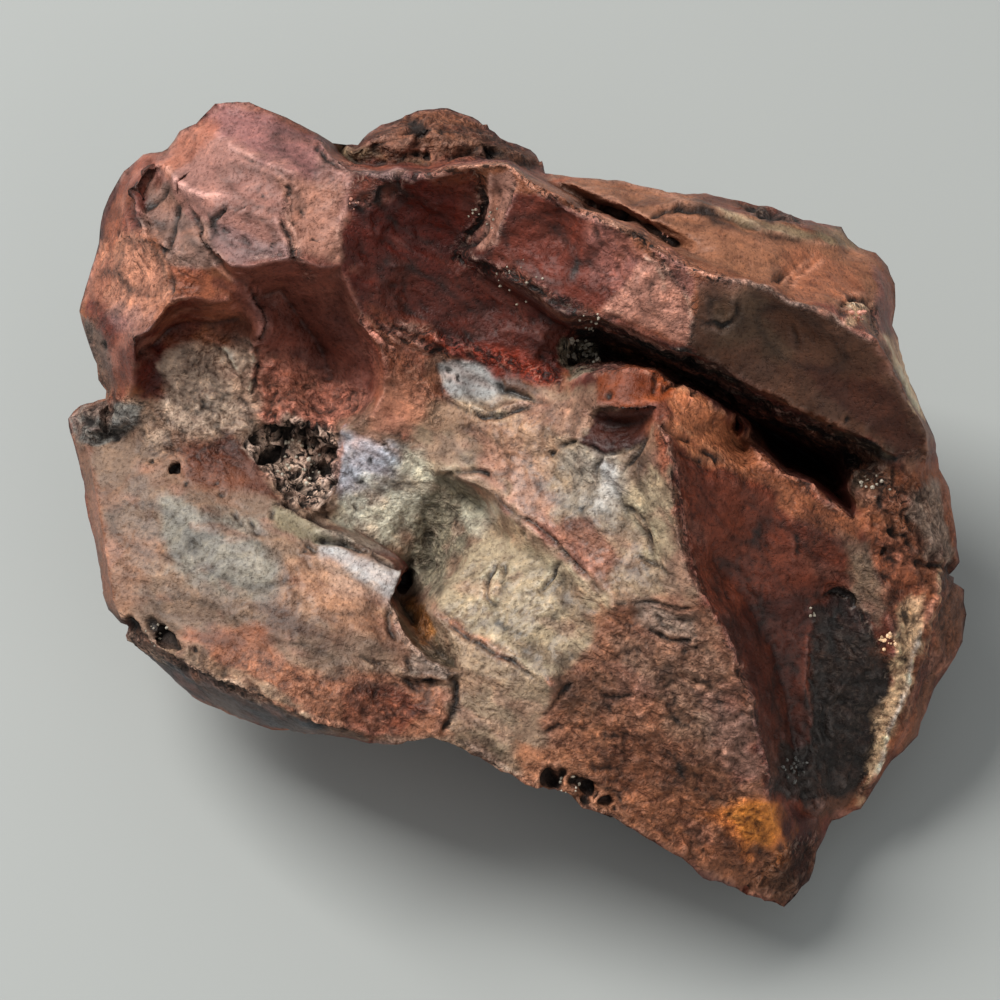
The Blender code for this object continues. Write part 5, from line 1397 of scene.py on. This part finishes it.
def makeSkin():
    # the solid's faces are cut finer and softened in turns, worn, and given their relief
    points, faces = stoneMesh()
    for k in range(skin["rounds"]):
        before = len(faces)
        wanted = wantedEdge(points, faces, k > 2) * skin["edgeSlack"]
        points, faces = splitLong(points, faces,
                                  np.maximum(wanted, skin["firstEdge"] / 2 ** k))
        if 0 < k < 4:
            points = softenedPoints(points, faces)
        if len(faces) == before and k > 3:
            break
    print("refined to", len(faces), "triangles")
    away = roundTheBack(points, faces)
    points = wornPoints(points, faces, away)
    normals = pointNormals(points, faces)
    relief = skinRelief(points, normals, away)
    # the flat spot that the stone rests on stays as it is, and all stays inside the solid's box
    lift = smoothStep(0.0, skin["flatSpot"], points[:, 2])
    points = points + normals * (relief.depth * lift)[:, None]
    points = np.clip(points, *np.array(cadBox))
    relief.points = points
    bulged = bulge(points, faces, pointNormals(points, faces))
    # on steep flanks the patches break up instead of stretching
    steep = smoothStep(0.35, 0.05, facing(points, normals))
    kept = 1.0 - steep * (1.0 - smoothStep(
        -0.10, 0.45, layeredNoise(points, flow["steepSize"], 4, 85)))
    piece = newPiece("jasperSkin", points, faces)
    crust = relief.crust
    putAttributes(piece, {
        "tint": stoneTint(relief, relief.front * kept, bulged),
        "dark": relief.dark,
        "crust": crust,
        "folds": np.maximum(relief.folds, crust),
        "flecks": np.maximum(relief.flecks, 0.35 * crust),
        "gloss": glossMask(relief),
    })
    print("stone skin:", len(points), "points,", len(faces), "triangles")
    return piece, points, pointNormals(points, faces)


# crystal grains: tone, size in mm, how many, spread in plan units, middle
grainSpots = [
    ("crumbGrey", 0.5, 22, 14, (580, 350)), ("crumbGrey", 0.3, 10, 10, (590, 320)),
    ("crumbGrey", 0.34, 8, 6, (594, 358)), ("crumbGrey", 0.32, 7, 4, (812, 612)),
    ("cream", 0.4, 12, 8, (888, 642)), ("palePink", 0.46, 9, 9, (858, 312)),
    ("crustGrey", 0.4, 22, 13, (795, 770)), ("crumbGrey", 0.26, 12, 16, (484, 214)),
    ("crumbGrey", 0.36, 26, 26, (300, 462)), ("palePink", 0.24, 8, 12, (660, 244)),
    ("palePink", 0.3, 7, 6, (354, 204)), ("crumbGrey", 0.28, 14, 26, (520, 282)),
    ("crumbGrey", 0.34, 10, 14, (570, 784)), ("crumbGrey", 0.32, 12, 16, (876, 486)),
    ("crumbGrey", 0.3, 10, 12, (156, 636)),
]


grain = {
    "seed": 97,
    "facing": 0.15,
    "frontPull": 200.0,
    "sunk": 0.35,
    "gloss": 0.6,
}


def grainShape():
    # an icosahedron's corners, from three golden rectangles, and its outward faces
    golden = (1 + math.sqrt(5)) / 2
    corners = np.array([(s, t * golden, 0) for s in (-1, 1) for t in (-1, 1)], dtype=float)
    corners = np.vstack([np.roll(corners, k, axis=1) for k in range(3)]) / 1.9
    distance = np.linalg.norm(corners[:, None] - corners[None], axis=2)
    near = (distance > 0.1) & (distance < 1.2)
    sides = np.array([(i, j, k) for i, j, k in combinations(range(12), 3)
                      if near[i, j] and near[j, k] and near[i, k]])
    a, b, c = corners[sides].transpose(1, 0, 2)
    inward = np.sum(np.cross(b - a, c - a) * a, axis=1) <= 0
    sides[inward] = sides[inward][:, ::-1]
    return corners, sides


def makeGrains(skinPoints, skinNormals):
    # an icosahedron for each grain, its corners pushed in or out at random, sunk by a third
    # into the skin at the point nearest to its place on the plan
    corners, sides = grainShape()
    seen = facing(skinPoints, skinNormals) > grain["facing"]
    spots, spotNormals = skinPoints[seen], skinNormals[seen]
    places = planPlace(spots)
    eyeReach = np.linalg.norm(spots - sightFrom, axis=1)
    points, faces, tints = [], [], []
    for number, (tone, size, count, spread, middle) in enumerate(grainSpots):
        for k in range(count):
            rough = hashed(np.array([[number, k, j] for j in range(16)]), grain["seed"])
            angle, reach = 2 * math.pi * rough[0], spread * math.sqrt(rough[1])
            at = np.array(middle) + reach * np.array([math.cos(angle), math.sin(angle)])
            gap = np.hypot(*(places - at).T) + grain["frontPull"] * (eyeReach - eyeReach.min())
            best = np.argmin(gap)
            scale = size * mm * (0.45 + 0.75 * rough[2]) / 2
            shape = corners * (0.75 + 0.5 * rough[4:16, None])
            shape = shape * (1.0 + 0.5 * (rough[3:6] - 0.5))
            points.append(spots[best] + spotNormals[best] * scale * grain["sunk"]
                          + shape * scale)
            faces.append(sides + len(corners) * len(tints))
            tints.append(fromScreen(tones[tone]) * (0.7 + 0.6 * rough[3]))
    piece = newPiece("jasperGrains", np.vstack(points), np.vstack(faces))
    piece.data.polygons.foreach_set("use_smooth", np.zeros(len(piece.data.polygons), dtype=bool))
    blank = np.zeros(len(tints) * len(corners))
    putAttributes(piece, {"tint": np.repeat(np.array(tints), len(corners), axis=0),
                          "dark": blank, "crust": blank, "folds": blank, "flecks": blank,
                          "gloss": blank + grain["gloss"]})
    print("grains:", len(tints))
    return piece


# the finish: noise scales per metre, factors on the colour, and the coat
waxyJasper = {
    "cloudScale": 520.0,
    "speckScale": 2700.0,
    "pillowScales": (640.0, 1500.0),
    "strokeScale": 800.0,
    "strokeTurn": math.radians(-32),
    "strokeStretch": 2.6,
    "gapScale": 300.0,
    "chipScale": 1250.0,
    "cloudDark": (0.40, 0.31, 0.29, 1),
    "cloudLight": (1.60, 1.50, 1.38, 1),
    # the darker factor paints shade into grooves and the paler one a highlight on crests
    "grooveShadeAndPins": (0.38, 0.32, 0.30, 1),
    "grainsAndHighlight": (1.85, 1.75, 1.62, 1),
    "chipLight": (1.6, 1.6, 1.6, 1),
    "chipPale": (0.62, 0.46, 0.36, 1),
    "chipBlack": (0.016, 0.010, 0.008, 1),
    "crackBlack": (0.012, 0.009, 0.008, 1),
    "mottle": 0.8,
    "rough": (0.44, 0.56),
    "coat": (0.06, 0.62),
    "coatRough": 0.28,
    "ior": 1.54,
    "specular": 0.17,
    "bumpStrength": 0.8,
    "bumpDistance": 0.00024,
}


def setSocket(tree, socket, value):
    # a number or colour is set on the socket, and another node's output is linked to it
    if isinstance(value, (int, float, tuple)):
        socket.default_value = value
    else:
        tree.links.new(value, socket)


def newGroup(name, inputs, outputs):
    group = bpy.data.node_groups.new(name, "ShaderNodeTree")
    for label, kind, value in inputs:
        socket = group.interface.new_socket(label, in_out="INPUT", socket_type=kind)
        if value is not None:
            socket.default_value = value
    for label, kind in outputs:
        group.interface.new_socket(label, in_out="OUTPUT", socket_type=kind)
    start = group.nodes.new("NodeGroupInput")
    end = group.nodes.new("NodeGroupOutput")
    return group, start, end


def newNode(tree, kind, values, output):
    node = tree.nodes.new(kind)
    for label, value in values.items():
        setSocket(tree, node.inputs[label], value)
    return node.outputs[output]


def noiseNode(tree, place, scale, detail, roughness=0.55, distortion=0.0):
    return newNode(tree, "ShaderNodeTexNoise", {
        "Vector": place, "Scale": scale, "Detail": detail, "Roughness": roughness,
        "Distortion": distortion}, "Fac")


def rangeNode(tree, value, low, high, toLow=0.0, toHigh=1.0):
    return newNode(tree, "ShaderNodeMapRange", {
        "Value": value, "From Min": low, "From Max": high, "To Min": toLow,
        "To Max": toHigh}, "Result")


def mathNode(kind, tree, a, b=0.5):
    node = tree.nodes.new("ShaderNodeMath")
    node.operation = kind
    setSocket(tree, node.inputs[0], a)
    setSocket(tree, node.inputs[1], b)
    return node.outputs["Value"]


def mixNode(tree, share, a, b, blend="MIX"):
    # the colour mix node has a socket for each type, and its colours are numbers 6 and 7
    node = tree.nodes.new("ShaderNodeMix")
    node.data_type = "RGBA"
    node.blend_type = blend
    for number, value in ((0, share), (6, a), (7, b)):
        setSocket(tree, node.inputs[number], value)
    return node.outputs[2]


def attributeNode(tree, name, output="Fac"):
    node = tree.nodes.new("ShaderNodeAttribute")
    node.attribute_type = "GEOMETRY"
    node.attribute_name = name
    return node.outputs[output]


def waxyGrainGroup():
    # fine mottling and a grained height for broken waxy stone, creased where Folds is high
    look = waxyJasper
    group, start, end = newGroup("waxyGrain", [
        ("Place", "NodeSocketVector", None), ("Colour", "NodeSocketColor", (0.2, 0.1, 0.1, 1)),
        ("Mottle", "NodeSocketFloat", 0.3), ("Folds", "NodeSocketFloat", 0.0),
        ("Flecks", "NodeSocketFloat", 0.0)],
        [("Colour", "NodeSocketColor"), ("Height", "NodeSocketFloat"),
         ("Mask", "NodeSocketFloat")])
    noise, span = partial(noiseNode, group), partial(rangeNode, group)
    times, plus = partial(mathNode, "MULTIPLY", group), partial(mathNode, "ADD", group)
    minus, mix = partial(mathNode, "SUBTRACT", group), partial(mixNode, group)

    def tinted(colour, factor):
        return mix(1.0, colour, factor, "MULTIPLY")

    def creases(value):
        # 0 in the crease, 1 on the pillow: |noise - 0.5| times 4
        return times(mathNode("ABSOLUTE", group, minus(value, 0.5)), 4.0)

    place, mottle, flecked = (start.outputs[name] for name in ("Place", "Mottle", "Flecks"))
    bare = start.outputs["Colour"]
    folded = span(start.outputs["Folds"], 0.05, 0.9, 0.07, 1.0)
    cloud = noise(place, look["cloudScale"], 6.0, 0.66, 0.3)
    speck = noise(place, look["speckScale"], 3.0, 0.65)
    # rounded pillows with creases where the noise crosses its middle value
    broad, small = (creases(noise(place, scale, 1.5, 0.5, 0.25))
                    for scale in look["pillowScales"])
    darker, lighter = tinted(bare, look["cloudDark"]), tinted(bare, look["cloudLight"])
    colour = mix(times(span(cloud, 0.50, 0.30), mottle), bare, darker)
    colour = mix(times(span(cloud, 0.52, 0.74), mottle), colour, lighter)
    # short chisel-like strokes, drawn out along the stone's flow
    drawn = group.nodes.new("ShaderNodeMapping")
    drawn.vector_type = "TEXTURE"
    drawn.inputs["Rotation"].default_value = (0.0, 0.0, look["strokeTurn"])
    drawn.inputs["Scale"].default_value = (look["strokeStretch"], 1.0, 1.0)
    group.links.new(place, drawn.inputs["Vector"])
    strokes = creases(noise(drawn.outputs["Vector"], look["strokeScale"], 1.0, 0.5))
    gaps = span(noise(place, look["gapScale"], 1.0), 0.50, 0.58)
    cuts = times(span(strokes, 0.20, 0.04), gaps)
    # grooves get painted shade and crests a painted highlight
    pillowRidges = plus(plus(times(broad, 0.45), times(small, 0.35)), times(strokes, 0.25))
    grooves = times(plus(span(pillowRidges, 0.36, 0.06), times(cuts, 0.4)), folded)
    crests = times(span(pillowRidges, 0.52, 0.90), folded)
    # pin-sized dark pits and pale grains
    pins = times(span(speck, 0.43, 0.33, 0.0, 0.8), span(folded, 0.07, 1.0, 0.55, 0.85))
    # grooves take the darker tint as painted shade, and pins as dark specks of the stone
    colour = mix(times(plus(grooves, pins), mottle), colour, tinted(colour, look["grooveShadeAndPins"]))
    grains = times(span(speck, 0.56, 0.70, 0.0, 0.8), span(folded, 0.07, 1.0, 0.45, 1.0))
    grains = mathNode("MAXIMUM", group, grains, crests)
    # crests take the paler tint as a painted highlight, and grains as pale specks of the stone
    colour = mix(grains, colour, tinted(colour, look["grainsAndHighlight"]))
    # hackly flecks, pale on their crests and black between
    chips = noise(place, look["chipScale"], 3.0, 0.6, 1.2)
    paleChips = times(span(chips, 0.54, 0.62), flecked)
    darkChips = times(span(chips, 0.48, 0.41), flecked)
    lifted = mix(0.24, tinted(colour, look["chipLight"]), look["chipPale"])
    colour = mix(paleChips, colour, lifted)
    colour = mix(darkChips, colour, look["chipBlack"])
    height = times(folded, plus(times(pillowRidges, 2.2), times(cuts, -0.5)))
    height = minus(plus(height, times(speck, 0.8)), times(pins, 0.6))
    height = plus(height, times(minus(paleChips, darkChips), 0.9))
    for label, value in (("Colour", colour), ("Height", height), ("Mask", cloud)):
        group.links.new(value, end.inputs[label])
    return group


def jasperFinish(waxyGrain):
    look = waxyJasper
    finish = bpy.data.materials.new("waxyJasper")
    finish.use_nodes = True
    tree = finish.node_tree
    shader = tree.nodes["Principled BSDF"]
    times, minus = partial(mathNode, "MULTIPLY", tree), partial(mathNode, "SUBTRACT", tree)
    crust, gloss = attributeNode(tree, "crust"), attributeNode(tree, "gloss")
    grained = tree.nodes.new("ShaderNodeGroup")
    grained.node_tree = waxyGrain
    for label, value in (("Place", tree.nodes.new("ShaderNodeTexCoord").outputs["Object"]),
                         ("Colour", attributeNode(tree, "tint", "Color")),
                         ("Mottle", look["mottle"]),
                         ("Folds", attributeNode(tree, "folds")),
                         ("Flecks", attributeNode(tree, "flecks"))):
        setSocket(tree, grained.inputs[label], value)
    # the dark mask takes the colour towards black: painted shade in cracks, pits, creases and
    # clefts, and real stains behind
    colour = mixNode(tree, times(attributeNode(tree, "dark"), 0.95),
                     grained.outputs["Colour"], look["crackBlack"])
    # crusts are dull and glossy places sharp
    rough = mathNode("ADD", tree, rangeNode(tree, grained.outputs["Mask"], 0.3, 0.7,
                                            *look["rough"]), times(crust, 0.3))
    rough = minus(rough, times(gloss, 0.12))
    coat = minus(rangeNode(tree, gloss, 0.0, 1.0, *look["coat"]), times(crust, 0.06))
    bump = newNode(tree, "ShaderNodeBump", {
        "Strength": look["bumpStrength"], "Distance": look["bumpDistance"],
        "Height": grained.outputs["Height"]}, "Normal")
    for label, value in (("Base Color", colour), ("Roughness", rough), ("Coat Weight", coat),
                         ("Coat Roughness", look["coatRough"]), ("IOR", look["ior"]),
                         ("Specular IOR Level", look["specular"]), ("Normal", bump)):
        setSocket(tree, shader.inputs[label], value)
    return finish


# the room: places and sizes in metres, powers in watts
room = {
    "windowPlace": (-0.44, 0.26, 0.70),
    "windowSize": 0.42,
    "windowPower": 10.2,
    "windowTone": (1.0, 0.99, 0.96),
    "fillPlace": (0.42, -0.50, 0.42),
    "fillSize": 0.5,
    "fillPower": 1.3,
    "fillTone": (1.0, 0.95, 0.88),
    "lightsAim": (0.0, 0.0, 0.02),
    "sky": (0.84, 0.88, 0.91),
    "skyStrength": 0.46,
    "floorTone": (0.318, 0.330, 0.322),
    "floorRough": 0.7,
    "floorReach": 1.5,
    "sensor": 36.0,
}


def softLight(name):
    data = bpy.data.lights.new(name + "Light", "AREA")
    data.size = room[name + "Size"]
    data.energy = room[name + "Power"]
    data.color = room[name + "Tone"]
    light = bpy.data.objects.new(name + "Light", data)
    light.location = room[name + "Place"]
    away = Vector(room[name + "Place"]) - Vector(room["lightsAim"])
    light.rotation_euler = away.to_track_quat("Z", "Y").to_euler()
    bpy.context.scene.collection.objects.link(light)


def makeFloor():
    reach = room["floorReach"]
    mesh = bpy.data.meshes.new("floor")
    mesh.from_pydata([(-reach, -reach, 0), (reach, -reach, 0), (reach, reach, 0),
                      (-reach, reach, 0)], [], [(0, 1, 2, 3)])
    floor = bpy.data.objects.new("floor", mesh)
    bpy.context.scene.collection.objects.link(floor)
    pale = bpy.data.materials.new("paleFloor")
    pale.use_nodes = True
    shader = pale.node_tree.nodes["Principled BSDF"]
    shader.inputs["Base Color"].default_value = (*room["floorTone"], 1)
    shader.inputs["Roughness"].default_value = room["floorRough"]
    mesh.materials.append(pale)


def makeRoom():
    softLight("window")
    softLight("fill")
    world = bpy.data.worlds.new("paleRoom")
    bpy.context.scene.world = world
    world.use_nodes = True
    sky = world.node_tree.nodes["Background"]
    sky.inputs["Color"].default_value = (*room["sky"], 1)
    sky.inputs["Strength"].default_value = room["skyStrength"]
    makeFloor()

    # the camera stands at the eye point and takes in the plan's 1000 units
    data = bpy.data.cameras.new("camera")
    data.sensor_width = room["sensor"]
    data.lens = room["sensor"] * plan["distance"] / (1000 * plan["unit"])
    data.clip_start = 0.01
    camera = bpy.data.objects.new("camera", data)
    camera.location = sightFrom
    camera.rotation_euler = (math.pi / 2 - plan["slope"], 0, 0)
    bpy.context.scene.collection.objects.link(camera)
    bpy.context.scene.camera = camera
    bpy.context.scene.view_settings.view_transform = "Standard"
    print("room, lights and camera set")


jasper = jasperFinish(waxyGrainGroup())
stoneSkin, skinPoints, skinNormals = makeSkin()
grains = makeGrains(skinPoints, skinNormals)
for piece in (stoneSkin, grains):
    piece.data.materials.append(jasper)
    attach(piece, "root")
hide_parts("jasper_stone")
makeRoom()
